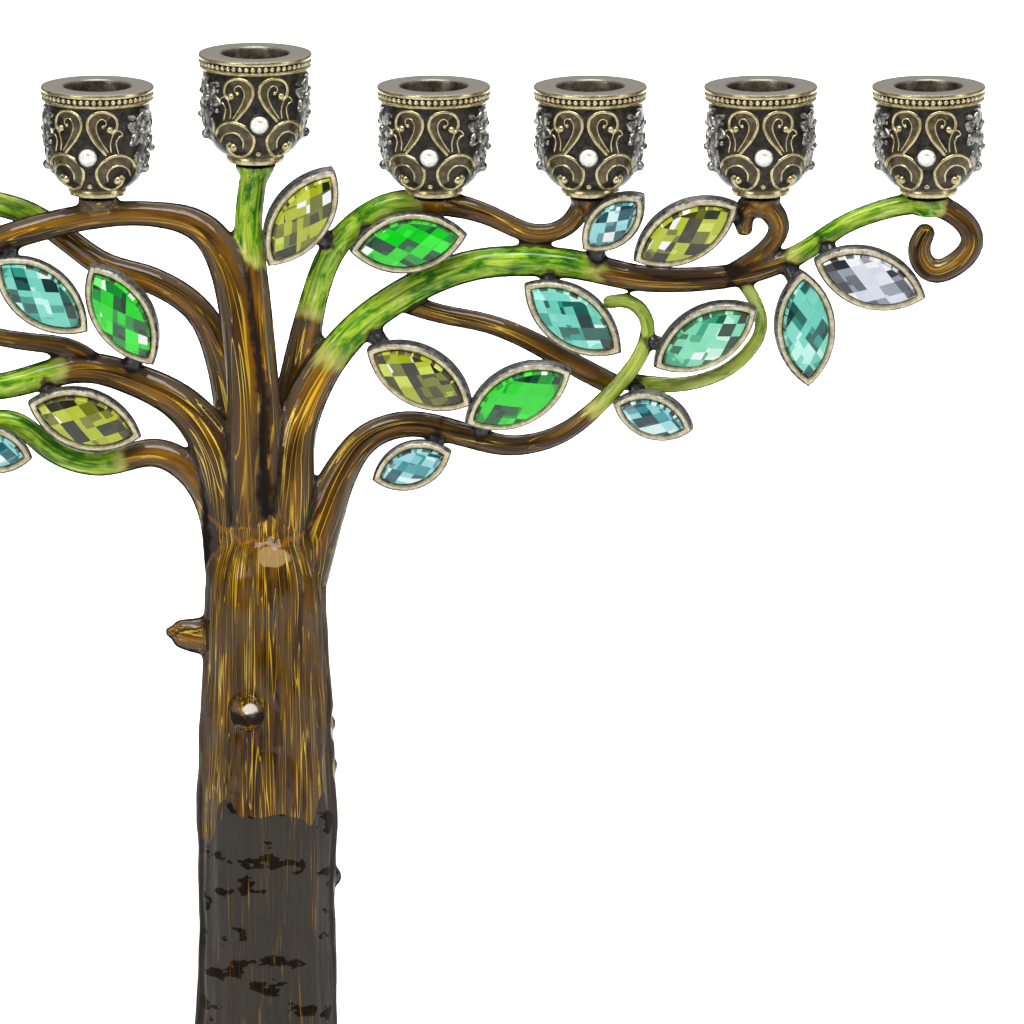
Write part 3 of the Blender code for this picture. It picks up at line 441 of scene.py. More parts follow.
def build_bead_tree(name):
    """A ring of beads, level, at a height."""
    g = Shaper(name, Count=("Int", 52), Ring_radius=("Float", 8 * MM), Bead_radius=("Float", 0.4 * MM),
               Height=("Float", 15.5 * MM))
    ring = g.node("GeometryNodeMeshCircle", {"Vertices": g.given["Count"], "Radius": g.given["Ring radius"]})
    bead = g.node("GeometryNodeMeshUVSphere", {"Segments": 8, "Rings": 5, "Radius": g.given["Bead radius"]})
    beads = g.node("GeometryNodeInstanceOnPoints", {"Points": ring.outputs[0], "Instance": bead.outputs[0]})
    lift = g.node("ShaderNodeCombineXYZ", {2: g.given["Height"]}).outputs[0]
    moved = g.node("GeometryNodeTransform", {"Geometry": beads.outputs[0], "Translation": lift}).outputs[0]
    return g.finish(g.node("GeometryNodeSetShadeSmooth", {"Geometry": moved}).outputs[0])


def build_flower_tree(name):
    """Copies of the petal that it is given, evenly round a centre, each leaning outwards."""
    g = Shaper(name, Petals=("Int", 5), Spread=("Float", 0.0), Lean=("Float", 0.0))
    ring = g.node("GeometryNodeMeshCircle", {"Vertices": g.given["Petals"], "Radius": g.given["Spread"]})
    index = g.node("GeometryNodeInputIndex").outputs[0]
    turn = g.math("MULTIPLY", g.math("DIVIDE", index, g.given["Petals"]), 2 * pi)
    angles = g.node("ShaderNodeCombineXYZ", {1: g.given["Lean"], 2: turn}).outputs[0]
    turned = g.node("FunctionNodeEulerToRotation", {0: angles}).outputs[0]
    petals = g.node("GeometryNodeInstanceOnPoints", {"Points": ring.outputs[0], "Instance": g.given["Geometry"],
                                                     "Rotation": turned}).outputs[0]
    return g.finish(g.node("GeometryNodeSetShadeSmooth", {"Geometry": petals}).outputs[0])


# Meshes


def plain_mesh(name, points, edges=(), faces=()):
    mesh = bpy.data.meshes.new(name)
    mesh.from_pydata([tuple(point) for point in points], edges, faces)
    return mesh


def line_mesh(name, lines):
    """Lines of (x, y, z, radius), each point carrying its radius."""
    points, edges, thick = [], [], []
    for line in lines:
        start = len(points)
        points += [tuple(point)[:3] for point in line]
        thick += [point[3] for point in line]
        edges += [(start + i, start + i + 1) for i in range(len(line) - 1)]
    mesh = plain_mesh(name, points, edges)
    mesh.attributes.new("thick", "FLOAT", "POINT").data.foreach_set("value", thick)
    return mesh


def bars(name, lines, material, sides=16):
    return shaped(line_mesh(name, lines), tree_named("Bar along a line", build_bar_tree), material, Sides=sides)


def joined(name, meshes):
    """One mesh of several, with all their materials."""
    made = bpy.data.meshes.new(name)
    shape = bmesh.new()
    for mesh in meshes:
        slots = []
        for material in mesh.materials:
            material = material or next(other for other in mesh.materials if other)
            if material.name not in made.materials:
                made.materials.append(material)
            slots.append(made.materials.find(material.name))
        before = len(shape.faces)
        shape.from_mesh(mesh)
        shape.faces.ensure_lookup_table()
        for face in shape.faces[before:]:
            if slots:
                face.material_index = slots[min(face.material_index, len(slots) - 1)]
    shape.to_mesh(made)
    shape.free()
    return made


def vertices_of(mesh):
    points = np.empty(len(mesh.vertices) * 3)
    mesh.vertices.foreach_get("co", points)
    return points.reshape(-1, 3)


def set_vertices(mesh, points):
    mesh.vertices.foreach_set("co", np.ascontiguousarray(points, np.float32).ravel())
    mesh.update()


def attribute(mesh, name, values, domain="POINT"):
    kind = "FLOAT_VECTOR" if np.ndim(values) == 2 else "FLOAT"
    made = mesh.attributes.get(name) or mesh.attributes.new(name, kind, domain)
    made.data.foreach_set("vector" if kind == "FLOAT_VECTOR" else "value",
                          np.ascontiguousarray(values, np.float32).ravel())


def rings_mesh(name, rings, materials, bands, closed_ends=True):
    """A closed skin through rings of equally many points. bands gives the material of each strip."""
    count = len(rings[0])
    points = [point for ring in rings for point in ring]
    faces, indices = [], []
    for row in range(len(rings) - 1):
        for i in range(count):
            j = (i + 1) % count
            low, high = row * count, (row + 1) * count
            faces.append((low + i, low + j, high + j, high + i))
            indices.append(bands[row])
    if closed_ends:
        faces += [tuple(reversed(range(count))), tuple(range(len(points) - count, len(points)))]
        indices += [bands[0], bands[-1]]
    mesh = plain_mesh(name, points, faces=faces)
    for material in materials:
        mesh.materials.append(material)
    mesh.polygons.foreach_set("material_index", indices)
    return outward(mesh)


def outward(mesh):
    """The closed mesh with its faces turned outwards."""
    shape = bmesh.new()
    shape.from_mesh(mesh)
    bmesh.ops.recalc_face_normals(shape, faces=shape.faces)
    shape.to_mesh(mesh)
    shape.free()
    return mesh


def smooth_shade(mesh, angle=None):
    mesh.shade_smooth()
    if angle is not None:
        mesh.set_sharp_from_angle(angle=radians(angle))
    return mesh


def add_piece(name, mesh, slot, *replaced):
    """The mesh as a finished piece that rides on the object's one body."""
    obj = bpy.data.objects.new(name, mesh)
    bpy.context.scene.collection.objects.link(obj)
    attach(obj, "root")
    if replaced:
        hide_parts(*replaced)
    return obj


# Places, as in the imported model


def smooth_route(points, spacing):
    """(samples, index of each point) along a smooth curve through points of (x, y, z, radius)."""
    ends = [points[0] * 2 - points[1], *points, points[-1] * 2 - points[-2]]
    samples, index = [], []
    for before, start, end, after in zip(ends, ends[1:], ends[2:], ends[3:]):
        index.append(len(samples))
        steps = max(1, ceil((end - start).to_3d().length / spacing))
        for step in range(steps):
            t = step / steps
            samples.append(
                0.5 * (2 * start + (end - before) * t + (2 * before - 5 * start + 4 * end - after) * t**2
                       + (3 * start - before - 3 * end + after) * t**3)
            )
    index.append(len(samples))
    samples.append(points[-1].copy())
    return samples, index


def canopy_point(across, up, back=0.0, radius=0.0):
    return Vector((across * CANOPY_WIDTH / DRAWN_WIDTH, back * MM, FORK + up * MM, radius * MM))


def cup_place(cup):
    across, turn = CUPS[cup]
    level = CUP_LEVEL + (SHAMASH_RISE if cup == "shamash" else 0)
    seat = Vector((across * CANOPY_WIDTH / DRAWN_WIDTH, 0, FORK + level))
    return Matrix.Translation(seat) @ Matrix.Rotation(radians(turn), 4, "Z")


def leaf_place(centre, angle, turn, tip_up):
    """A leaf's frame: X along its length, Z out of its front, origin in the setting's front edge."""
    place = Vector((canopy_point(*centre).x, LEAF_RIM_Y, canopy_point(*centre).z))
    return (Matrix.Translation(place) @ Matrix.Rotation(radians(turn), 4, "Z")
            @ Matrix.Rotation(radians(90 - tip_up), 4, "X") @ Matrix.Rotation(radians(angle), 4, "Z"))


def pointed_oval(size, offset=0.0, steps=5):
    half_length, half_width = size[0] / 2, size[1] / 2
    radius = (half_length**2 + half_width**2) / (2 * half_width)
    centre = radius - half_width
    radius += offset
    reach = asin(sqrt(radius**2 - centre**2) / radius)
    arc = [reach * (1 - 2 * step / steps) for step in range(steps)]
    upper = [(radius * sin(angle), radius * cos(angle) - centre) for angle in arc]
    return upper + [(-x, -y) for x, y in upper]


def foot_slope():
    half, low = FOOT_LENGTH / 2, FELT_THICKNESS + JOINT_GAP
    rise = FOOT_TOP - low
    return [(FOOT_TOP_LENGTH / 2, low + rise), (0.6 * half, low + FOOT_RIM + 0.42 * (rise - FOOT_RIM)),
            (half - 2 * MM, low + FOOT_RIM + 0.6 * MM), (half, low + FOOT_RIM - 0.6 * MM)]


def foot_height(share):
    """The foot's surface at a share of the way from its middle to its rim."""
    slope = foot_slope()
    return np.interp(np.asarray(share) * FOOT_LENGTH / 2, [p[0] for p in slope], [p[1] for p in slope])


# Finishes


def enamel_finish(name):
    """Glossy enamel over an engraved casting: brown with gold lines or streaked green, bare and dark at its edges,
    partly as bare metal and partly as painted shade, with painted reflections and a painted highlight on the trunk.
    """
    tint = colours()
    g = Finish(name)
    grain = g.attribute("grain").outputs["Vector"]
    radius, green, metal = g.parts(g.attribute("bar").outputs["Vector"])
    edge, share, seam = g.parts(g.attribute("rim").outputs["Vector"])
    place = g.place()
    x, y, height = g.parts(place)
    broad = g.noise(g.stretch(grain, (1, 1, 0.1)), 0.55, 3, 0.55, 0.2)
    fine = g.noise(g.stretch(grain, (1, 1, 0.05)), 2.0, 3, 0.6)
    broken = g.noise(g.stretch(grain, (1, 1, 0.12)), 0.6, 2, 0.6)
    crown = g.math("MULTIPLY", g.step(height, 96, 110), g.step(height, 148, 128))
    crown = g.math("MULTIPLY", crown, g.step(g.math("ABSOLUTE", g.math("SUBTRACT", x, 1.5)), 17, 7))
    core = g.math("MAXIMUM", g.step(share, 0.75, 0.2), g.step(radius, 4.5, 6))
    width = g.math("ADD", g.step(broken, 0.38, 0.64, 0.02, 0.17), g.math("MULTIPLY", crown, 0.05))
    width = g.math("MULTIPLY", width, g.step(core, 0, 1, 0.35, 1.0))
    round_way = g.node("ShaderNodeVectorMath", {0: g.stretch(place, (1, 1, 0))}, operation="NORMALIZE").outputs[0]
    up_way = g.shift(g.stretch(round_way, (10, 10, 0)), g.node("ShaderNodeCombineXYZ", {2: height}).outputs[0])
    fray = g.math("MULTIPLY", g.noise(g.stretch(place, (1, 1, 0.4)), 0.5, 2), 14)
    column = g.math("MULTIPLY", g.step(g.math("ADD", height, fray), 125, 117), g.step(height, 22, 30))
    column = g.math("MULTIPLY", column, g.step(radius, 3.6, 4.3))
    drawn = []
    for way, share_shown in ((grain, g.math("SUBTRACT", g.math("SUBTRACT", 1.0, column), seam, clamp=True)), (up_way, column)):
        wander = g.noise(g.stretch(way, (1, 1, 0.035)), 0.95, 1.5, 0.5, 0.4)
        ripple = g.math("PINGPONG", g.math("MULTIPLY", wander, g.step(radius, 3, 6, 5.0, 6.0)), 0.5)
        line = g.math("SUBTRACT", 1.0, g.math("DIVIDE", ripple, width), clamp=True)
        drawn.append(g.math("MULTIPLY", line, share_shown))
    line = g.math("MAXIMUM", *drawn)
    glow = g.noise(g.stretch(grain, (1, 1, 0.15)), 0.45, 2)

    trunkness = g.step(radius, 2.8, 5.0)
    fine = g.math("ADD", g.math("MULTIPLY", fine, g.math("SUBTRACT", 1.0, seam)), g.math("MULTIPLY", seam, 0.45))
    ground = g.mix(g.step(fine, 0.38, 0.68), four(tint.brown_dark), four(tint.brown))
    amber = g.math("MULTIPLY", g.step(broad, 0.39, 0.65), g.step(trunkness, 0, 1, 1.0, 0.35))
    amber = g.math("MULTIPLY", g.math("ADD", amber, g.math("MULTIPLY", crown, 0.1)), g.step(core, 0, 1, 0.1, 1.0))
    ground = g.mix(amber, ground, four(tint.amber))
    taupe = g.mix(g.step(radius, 2.6, 3.6), (0.17, 0.125, 0.08, 1), (0.085, 0.06, 0.04, 1))
    ground = g.mix(g.step(core, 0.0, 0.7, 0.6, 0), ground, taupe)
    lines = g.mix(g.step(glow, 0.46, 0.7), four(tint.gold), (0.98, 0.75, 0.15, 1))
    shine = g.math("ADD", g.step(glow, 0.3, 0.6, 0.45, 1.0), g.math("MULTIPLY", crown, 0.4))
    brown = g.mix(g.math("MULTIPLY", line, shine, clamp=True), ground, lines)

    # Shade in the valleys of the crown
    valley = g.math("MULTIPLY", g.step(edge, 1.05, 0.3), g.step(radius, 2.8, 4.0))
    brown = g.mix(g.math("MULTIPLY", valley, 0.8), brown, (0.016, 0.009, 0.005, 1))

    # Painted reflection: paler patches with sharp, rounded borders, standing in for the clear glaze mirroring the
    # studio, only on the trunk and more to the right
    reflected_patch_noise = g.noise(g.stretch(place, (1, 1, 0.75)), 0.2, 1.5, 0.5, 0.6)
    reflected_patch_noise = g.math("ADD", reflected_patch_noise, g.step(x, -8, 9, -0.04, 0.05))
    reflected_patch = g.math("MULTIPLY", g.step(reflected_patch_noise, 0.535, 0.55), g.step(height, 112, 104))
    reflected_patch = g.math("MULTIPLY", reflected_patch, g.step(trunkness, 0, 1, 0, 0.5))
    brown = g.mix(reflected_patch, brown, (0.095, 0.062, 0.03, 1))

    # The crease under the crown and the pale patch below it
    sway = g.math("SUBTRACT", g.noise(g.stretch(place, (1, 1, 0.3)), 0.25, 2), 0.5)
    arc = g.math("ADD", g.math("MULTIPLY", g.math("MULTIPLY", x, x), 0.05), 106.2)
    crease = g.math("ABSOLUTE", g.math("SUBTRACT", g.math("ADD", height, g.math("MULTIPLY", sway, 5)), arc))
    crease = g.math("MULTIPLY", g.step(crease, 0.55, 0.1), g.math("MULTIPLY", trunkness, g.step(y, -1, -4)))
    brown = g.mix(g.math("MULTIPLY", crease, 0.6), brown, (0.36, 0.13, 0.012, 1))
    spot = g.node("ShaderNodeVectorMath", {0: g.stretch(g.shift(place, (-1.8, 9, -104.6)), (0.34, 0.1, 0.62))},
                  operation="LENGTH").outputs["Value"]
    spot = g.step(g.math("ADD", spot, g.math("MULTIPLY", sway, 1.4)), 1.0, 0.86, 0, 0.6)
    brown = g.mix(spot, brown, (0.55, 0.36, 0.15, 1))

    # Painted highlight: a pale, near-white spot on the tip of the front knot
    knob_highlight = g.node("ShaderNodeVectorMath", {0: g.stretch(g.shift(place, (2.0, 12.6, -82.2)), (0.55, 0.5, 0.9))},
                  operation="LENGTH").outputs["Value"]
    knob_highlight = g.step(g.math("ADD", knob_highlight, g.math("MULTIPLY", sway, 3.0)), 0.95, 0.6)
    brown = g.mix(g.math("MULTIPLY", knob_highlight, 0.85), brown, (0.78, 0.74, 0.66, 1))

    # The lower trunk: a painted reflection, a flat grey sheen where the glaze mirrors its surroundings, with near-black
    # patches where it mirrors something dark and a few gold lines showing through; its border is uneven
    border = g.math("ADD", height, g.math("MULTIPLY", g.noise(g.stretch(place, (1, 1, 0.35)), 0.17, 1.5), 22))
    reflected_zone = g.math("MULTIPLY", g.step(border, 75.0, 75.5, 1, 0), g.step(height, 8, 36))
    reflection_gaps = g.noise(g.stretch(place, (1, 1, 2.2)), 0.15, 3, 0.62)
    reflection_gaps = g.math("ADD", reflection_gaps, g.step(g.math("ABSOLUTE", g.math("SUBTRACT", height, 43)), 7, 0, 0, 0.06))
    reflected_colour = g.mix(g.step(reflection_gaps, 0.595, 0.61), (0.032, 0.028, 0.022, 1), (0.003, 0.002, 0.0015, 1))
    sparse = g.math("MULTIPLY", g.step(broken, 0.52, 0.66), g.step(glow, 0.45, 0.6, 0.0, 0.8))
    reflected_colour = g.mix(g.math("MULTIPLY", line, sparse), reflected_colour, (0.45, 0.2, 0.02, 1))
    brown = g.mix(g.math("MULTIPLY", reflected_zone, 0.93), brown, reflected_colour)

    leafy = g.noise(g.stretch(grain, (1, 1, 0.3)), 0.75, 4, 0.62, 0.5)
    lush = g.ramp(leafy, [(0.34, tint.green_dark), (0.44, tint.green), (0.53, tint.lime), (0.61, (0.5, 0.7, 0.05)),
                          (0.72, (0.78, 0.88, 0.36))])
    lush = g.mix(g.step(fine, 0.46, 0.66, 0, 0.85), lush, (0.025, 0.17, 0.005, 1))
    yellow = g.math("MULTIPLY", g.step(x, 46, 51), g.step(height, 150, 147))
    yellow = g.math("MULTIPLY", yellow, g.step(leafy, 0.35, 0.55, 0.3, 0.75))
    pale = g.mix(g.step(fine, 0.42, 0.62), (0.4, 0.5, 0.03, 1), (0.72, 0.76, 0.25, 1))
    lush = g.mix(yellow, lush, pale)
    ragged = g.math("ADD", green, g.math("MULTIPLY", g.math("SUBTRACT", broken, 0.5), 0.9))
    over = g.step(ragged, 0.32, 0.62)
    cream = g.math("MULTIPLY", g.step(ragged, 0.3, 0.5), g.step(ragged, 1.0, 0.62))
    lush = g.mix(g.math("MULTIPLY", cream, 0.6), lush, (0.66, 0.55, 0.16, 1))
    colour = g.mix(over, brown, lush)

    rag = g.math("MULTIPLY", g.math("SUBTRACT", g.noise(grain, 0.7, 2), 0.5), 0.35)
    bare = g.step(g.math("ADD", metal, rag), 0.42, 0.55)
    worn = g.noise(place, 1.4, 4, 0.7)
    steel = g.mix(g.step(worn, 0.52, 0.75), four(tint.gunmetal), (0.2, 0.19, 0.17, 1))
    colour = g.mix(bare, colour, steel)
    # Painted shade: near-black outlines along the boughs' upper and lower edges, partly bare dark metal and partly
    # painted shade, deeper underneath and in the grooves, and painted shade down the sides of the trunk and the
    # thickest boughs
    rim = g.step(g.math("ADD", edge, rag), 0.24, 0.42, 1, 0)
    side = g.step(share, 0.8, 0.97, 0, g.step(radius, 4, 7, 0, 0.85))
    dark = g.math("MAXIMUM", rim, side)
    colour = g.mix(g.math("MULTIPLY", dark, 0.9), colour, (0.014, 0.012, 0.011, 1))
    rough = g.mix(g.math("MAXIMUM", bare, dark), (0.3, 0.3, 0.3, 1), (0.42, 0.42, 0.42, 1))
    bumps = g.math("ADD", g.math("MULTIPLY", line, 0.5), g.math("MULTIPLY", fine, 0.5))
    # Less gloss on the dark edges and in the painted reflection's dark patches
    still = g.math("MAXIMUM", dark, g.math("MULTIPLY", reflected_zone, g.step(reflection_gaps, 0.595, 0.61, 0, 0.75)))
    gloss = g.math("MULTIPLY", g.step(trunkness, 0, 1, 0.75, 0.5), g.math("SUBTRACT", 1.0, still, clamp=True))
    return g.set(base_color=colour, metallic=g.math("MULTIPLY", bare, 0.35), roughness=rough,
                 specular_ior_level=0.0, coat_weight=gloss, coat_roughness=0.03, coat_ior=1.5,
                 normal=g.bump(bumps, 0.3, 0.1 * MM))


def antique_metal(name, low, high, metallic=0.9, roughness=0.36, grain=1.3):
    """Cast metal, dark in its pits and rubbed bright where it stands out."""
    g = Finish(name)
    place = g.place()
    cloud = g.noise(place, grain, 5, 0.65)
    pits = g.noise(place, grain * 5, 3, 0.6)
    wear = g.math("ADD", g.math("MULTIPLY", cloud, 0.7), g.math("MULTIPLY", pits, 0.3))
    colour = g.mix(g.step(wear, 0.36, 0.62), (*low, 1), (*high, 1))
    rough = g.step(pits, 0.3, 0.7, roughness + 0.1, roughness - 0.08)
    return g.set(base_color=colour, metallic=metallic, roughness=rough, normal=g.bump(pits, 0.4, 0.06 * MM))


def brushed_rim(name):
    """The cups' level rims: pale metal, turned on a lathe."""
    g = Finish(name)
    place = g.node("ShaderNodeTexCoord").outputs["UV"]
    rings = g.noise(g.stretch(place, (1, 26, 1)), 3.0, 4, 0.7)
    cloud = g.noise(g.place(), 0.5, 3)
    colour = g.mix(g.step(rings, 0.3, 0.7), (0.22, 0.21, 0.18, 1), (0.44, 0.42, 0.36, 1))
    colour = g.mix(g.step(cloud, 0.4, 0.7, 0, 0.5), colour, (0.38, 0.33, 0.23, 1))
    return g.set(base_color=colour, metallic=0.75, roughness=0.42, normal=g.bump(rings, 0.3, 0.03 * MM))


def cup_enamel(name):
    """The thin olive-brown enamel in the scrolls' channels."""
    g = Finish(name)
    place = g.place()
    cloud = g.noise(place, 0.8, 3, 0.6)
    colour = g.ramp(cloud, [(0.3, (0.016, 0.009, 0.002)), (0.5, (0.065, 0.042, 0.008)), (0.7, (0.16, 0.11, 0.028))])
    return g.set(base_color=colour, metallic=0.2, roughness=0.25, coat_weight=0.4,
                 normal=g.bump(g.noise(place, 3.0, 2), 0.2, 0.05 * MM))


def crystal_finish(kind):
    """Foiled glass with painted reflections: each facet shows its own broken mosaic of painted light and dark tones,
    with painted shade towards the points and a few painted white glints.
    """
    g = Finish(f"crystal_{kind}")
    tones = CRYSTAL_TONES[kind]
    mosaic = g.attribute("mosaic").outputs["Vector"]
    tone = g.attribute("tone").outputs["Fac"]
    block = g.cells(mosaic, 1.0, randomness=0.2)
    tip_shading = g.attribute("tip_shade").outputs["Fac"]
    value = g.math("ADD", g.math("MULTIPLY", block[0], 0.3), g.math("MULTIPLY", tone, 0.7))
    # Painted shade towards the points
    value = g.math("SUBTRACT", value, g.math("MULTIPLY", g.step(tip_shading, 0.4, 1.0), 0.4))
    value = g.math("SUBTRACT", value, 0.07 if kind == "olive" else 0.02)
    colour = g.ramp(value, [(0.0, tones[0]), (0.18, tones[1]), (0.33, tones[2]), (0.48, tones[3]), (0.76, tones[4])],
                    "CONSTANT")
    soft = g.ramp(value, [(0.08, tones[0]), (0.27, tones[1]), (0.42, tones[2]), (0.6, tones[3]), (0.86, tones[4])])
    colour = g.mix(0.3, colour, soft)
    # Painted glints: a few cells turned near-white
    glint = g.math("MULTIPLY", g.math("GREATER_THAN", block[1], 0.965), g.math("GREATER_THAN", value, 0.3))
    colour = g.mix(glint, colour, (0.92, 0.97, 0.93, 1))
    return g.set(base_color=colour, metallic=0.1, roughness=0.06, coat_weight=1.0, coat_roughness=0.01)


def felt_finish(name):
    g = Finish(name)
    place = g.place()
    fibres = g.noise(g.stretch(place, (1, 3, 1)), 1.6, 6, 0.75, 1.2)
    colour = g.mix(g.step(fibres, 0.3, 0.7), (0.012, 0.05, 0.018, 1), (0.04, 0.13, 0.05, 1))
    return g.set(base_color=colour, roughness=0.95, sheen_weight=0.5, normal=g.bump(fibres, 0.8, 0.3 * MM))


# The stage


def make_stage():
    light = bpy.context.scene.candelabrum_stage
    floor_mesh = plain_mesh("floor", [(-6, -6, 0), (6, -6, 0), (6, 6, 0), (-6, 6, 0)], faces=[(0, 1, 2, 3)])
    g = Finish("pale_floor")
    speckle = g.noise(g.place(), 0.02, 4)
    g.set(base_color=g.mix(speckle, (0.8, 0.8, 0.795, 1), (0.84, 0.84, 0.84, 1)), roughness=0.9)
    g.shader.inputs["Emission Color"].default_value = (1, 1, 1, 1)
    g.shader.inputs["Emission Strength"].default_value = 0.15
    floor_mesh.materials.append(g.material)
    floor = bpy.data.objects.new("floor", floor_mesh)
    bpy.context.scene.collection.objects.link(floor)

    world = bpy.data.worlds.new("studio")
    bpy.context.scene.world = world
    world.use_nodes = True
    w = Nodes(world.node_tree)
    up = w.parts(w.node("ShaderNodeTexCoord").outputs["Generated"])[2]
    sky = w.ramp(w.step(up, -0.2, 1.0, soft=False), [(0.0, (0.5, 0.5, 0.5)), (0.17, (0.32, 0.32, 0.32)),
                                                     (0.4, (0.75, 0.75, 0.75)), (1.0, (1.3, 1.3, 1.3))])
    back = world.node_tree.nodes["Background"]
    w.feed(back.inputs[0], sky)
    back.inputs[1].default_value = light.daylight

    for name, place, aim, size, power in [
        ("softbox_left", (-0.8, -0.9, 0.5), (0, 0, 0.12), (0.5, 0.5), light.softbox),
        ("softbox_right", (1.0, -0.35, 0.35), (0, 0, 0.12), (0.3, 0.6), 0.5 * light.softbox),
        ("strip_top", (0.0, -0.4, 0.95), (0, 0, 0.12), (0.9, 0.3), 3.6 * light.softbox),
        ("background_lamp", (0.05, 0.75, 0.6), (0.05, 0.75, 0), (0.9, 0.9), 4.5 * light.softbox),
    ]:
        lamp = bpy.data.lights.new(name, "AREA")
        lamp.shape, lamp.size, lamp.size_y, lamp.energy = "RECTANGLE", size[0], size[1], power
        lamp.spread = radians(110 if name == "background_lamp" else 180)
        obj = bpy.data.objects.new(name, lamp)
        bpy.context.scene.collection.objects.link(obj)
        obj.location = place
        obj.rotation_euler = (Vector(aim) - Vector(place)).to_track_quat("-Z", "Y").to_euler()

    aim, distance, elevation, frame_width = Vector((0.0375, 0, 0.1099)), 4.0, radians(11.5), 0.1536
    camera = bpy.data.cameras.new("camera")
    camera.sensor_width = 36
    camera.lens = camera.sensor_width * distance / frame_width
    camera.clip_end = 100
    obj = bpy.data.objects.new("camera", camera)
    bpy.context.scene.collection.objects.link(obj)
    obj.location = aim + Vector((0, -cos(elevation), sin(elevation))) * distance
    obj.rotation_euler = (aim - obj.location).to_track_quat("-Z", "Y").to_euler()
    bpy.context.scene.camera = obj
    bpy.context.scene.view_settings.view_transform = "Standard"


# The casting


class Strand:
    """One run of the casting, sampled finely, with what each sample says of the skin round it."""

    def __init__(self, owner, samples, green=None, metal=0.0, ridge=0.1 * MM, swell=0.0, ends=(True, True)):
        self.owner, self.metal, self.ridge, self.swell = owner, metal, ridge, swell
        self.samples = samples
        count = len(samples)
        self.owners = [owner] * count if isinstance(owner, str) else owner
        self.green = green or [0.0] * count
        self.ends = ends

    def line(self):
        """The samples with a rounded tip at each free end."""
        line = [tuple(sample) for sample in self.samples]
        for end, at, before in ((0, 0, 1), (1, -1, -2)):
            if not self.ends[end]:
                continue
            tip, inner = self.samples[at], self.samples[before]
            way = (tip - inner).to_3d().normalized()
            cap = [(*(tip.to_3d() + way * tip[3] * 0.9 * sin(t)), tip[3] * cos(t)) for t in (0.5, 0.95, 1.3)]
            line = line + cap if end else cap[::-1] + line
        return line


def green_share(bough, sample, index, count):
    """1 where the bough's enamel is green, 0 where it is brown, with a slow change over 3 mm."""
    across, up = sample[0] / MM, (sample[2] - FORK) / MM
    change = 2.5
    share = -1.0
    for low, high in bough.get("green", []):
        share = max(share, min((across - low) / change, (high - across) / change))
    if "green_up" in bough:
        rising = (up - bough["green_up"][0]) / change
        share = min(share, rising) if bough.get("green") else rising
    after = bough.get("brown_after")
    if after is not None and index > count[after] + 3:
        share = min(share, -0.5)
    return min(1.0, max(0.0, 0.5 + 0.5 * share))


def eased(samples):
    """The samples with their tight turns rounded off."""
    for _ in range(10):
        middle = [(a + 2 * b + c) / 4 for a, b, c in zip(samples, samples[1:], samples[2:])]
        samples = [samples[0], *middle, samples[-1]]
    return samples


def web_to(route, place, size):
    half = 0.32 * size[0]
    along = [place @ Vector((half * step / 4, 0, -SETTING_DEPTH + 0.5 * MM)) for step in range(-4, 5)]
    start, end = min(((a, b) for a in along for b in route), key=lambda pair: (pair[0] - pair[1].to_3d()).length)
    middle = start.lerp(end.to_3d(), 0.4)
    return [Vector((*start, 1.3 * WEB_RADIUS)), Vector((*middle, 1.05 * WEB_RADIUS)),
            Vector((*end.to_3d(), min(1.4 * WEB_RADIUS, 0.8 * end[3])))]


def trunk_samples():
    foot = FOOT_TOP - 0.5 * MM
    rise = FORK - foot
    column = [(0, TRUNK_FLARE), (0.09, 0.5 * (TRUNK_FLARE + TRUNK_RADIUS)), (0.24, TRUNK_RADIUS + 0.4 * MM),
              (0.4, TRUNK_RADIUS), (0.62, TRUNK_RADIUS + 0.2 * MM), (0.8, 0.5 * (TRUNK_RADIUS + TRUNK_WAIST)),
              (0.97, TRUNK_WAIST), (1.035, 0.9 * TRUNK_WAIST), (1.085, 0.62 * TRUNK_WAIST),
              (1.12, 0.3 * TRUNK_WAIST)]
    return [Vector((TRUNK_LEAN, 0, foot + share * rise, radius)) for share, radius in column]


def knots():
    left, front = FORK - 9 * MM, FORK - 19 * MM
    return [
        [Vector((-6 * MM, 0, left, 3.6 * MM)), Vector((-9.8 * MM, 0, left, 2.7 * MM)),
         Vector((-12.6 * MM, 0, left + 0.4 * MM, 2.0 * MM)), Vector((-13.6 * MM, 0, left + 0.5 * MM, 1.0 * MM))],
        [Vector((-2.2 * MM, -6 * MM, front, 2.8 * MM)), Vector((-2.2 * MM, -11.4 * MM, front, 2.3 * MM)),
         Vector((-2.2 * MM, -12.4 * MM, front, 1.3 * MM))],
        *([Vector((TRUNK_LEAN + TRUNK_RADIUS - 3 * MM, 0, FORK - down * MM, 3.6 * MM)),
           Vector((TRUNK_LEAN + TRUNK_RADIUS + (out - 1.6) * MM, 0, FORK - (down - 0.6) * MM, 1.6 * MM))]
          for down, out in ((23, 0.3), (29.5, 0.6), (46.5, 1.1))),
    ]


def roots():
    lines = []
    for index in range(ROOT_COUNT):
        angle = 2 * pi * (index + 0.4) / ROOT_COUNT
        rim = Vector((cos(angle) * FOOT_LENGTH, sin(angle) * FOOT_DEPTH)) / 2
        start = 0.6 * TRUNK_RADIUS / rim.length
        points = []
        for way, lift, thick in [(0, 15 * MM, 0.9), (0.22, 5.5 * MM, 1.0), (0.5, 1.2 * MM, 0.8), (0.78, 0, 0.55),
                                 (1, -0.2 * MM, 0.3)]:
            share = start + (ROOT_REACH - start) * way
            points.append(Vector((*(rim * share), float(foot_height(share)) + lift, ROOT_RADIUS * thick)))
        lines.append(points)
    return lines


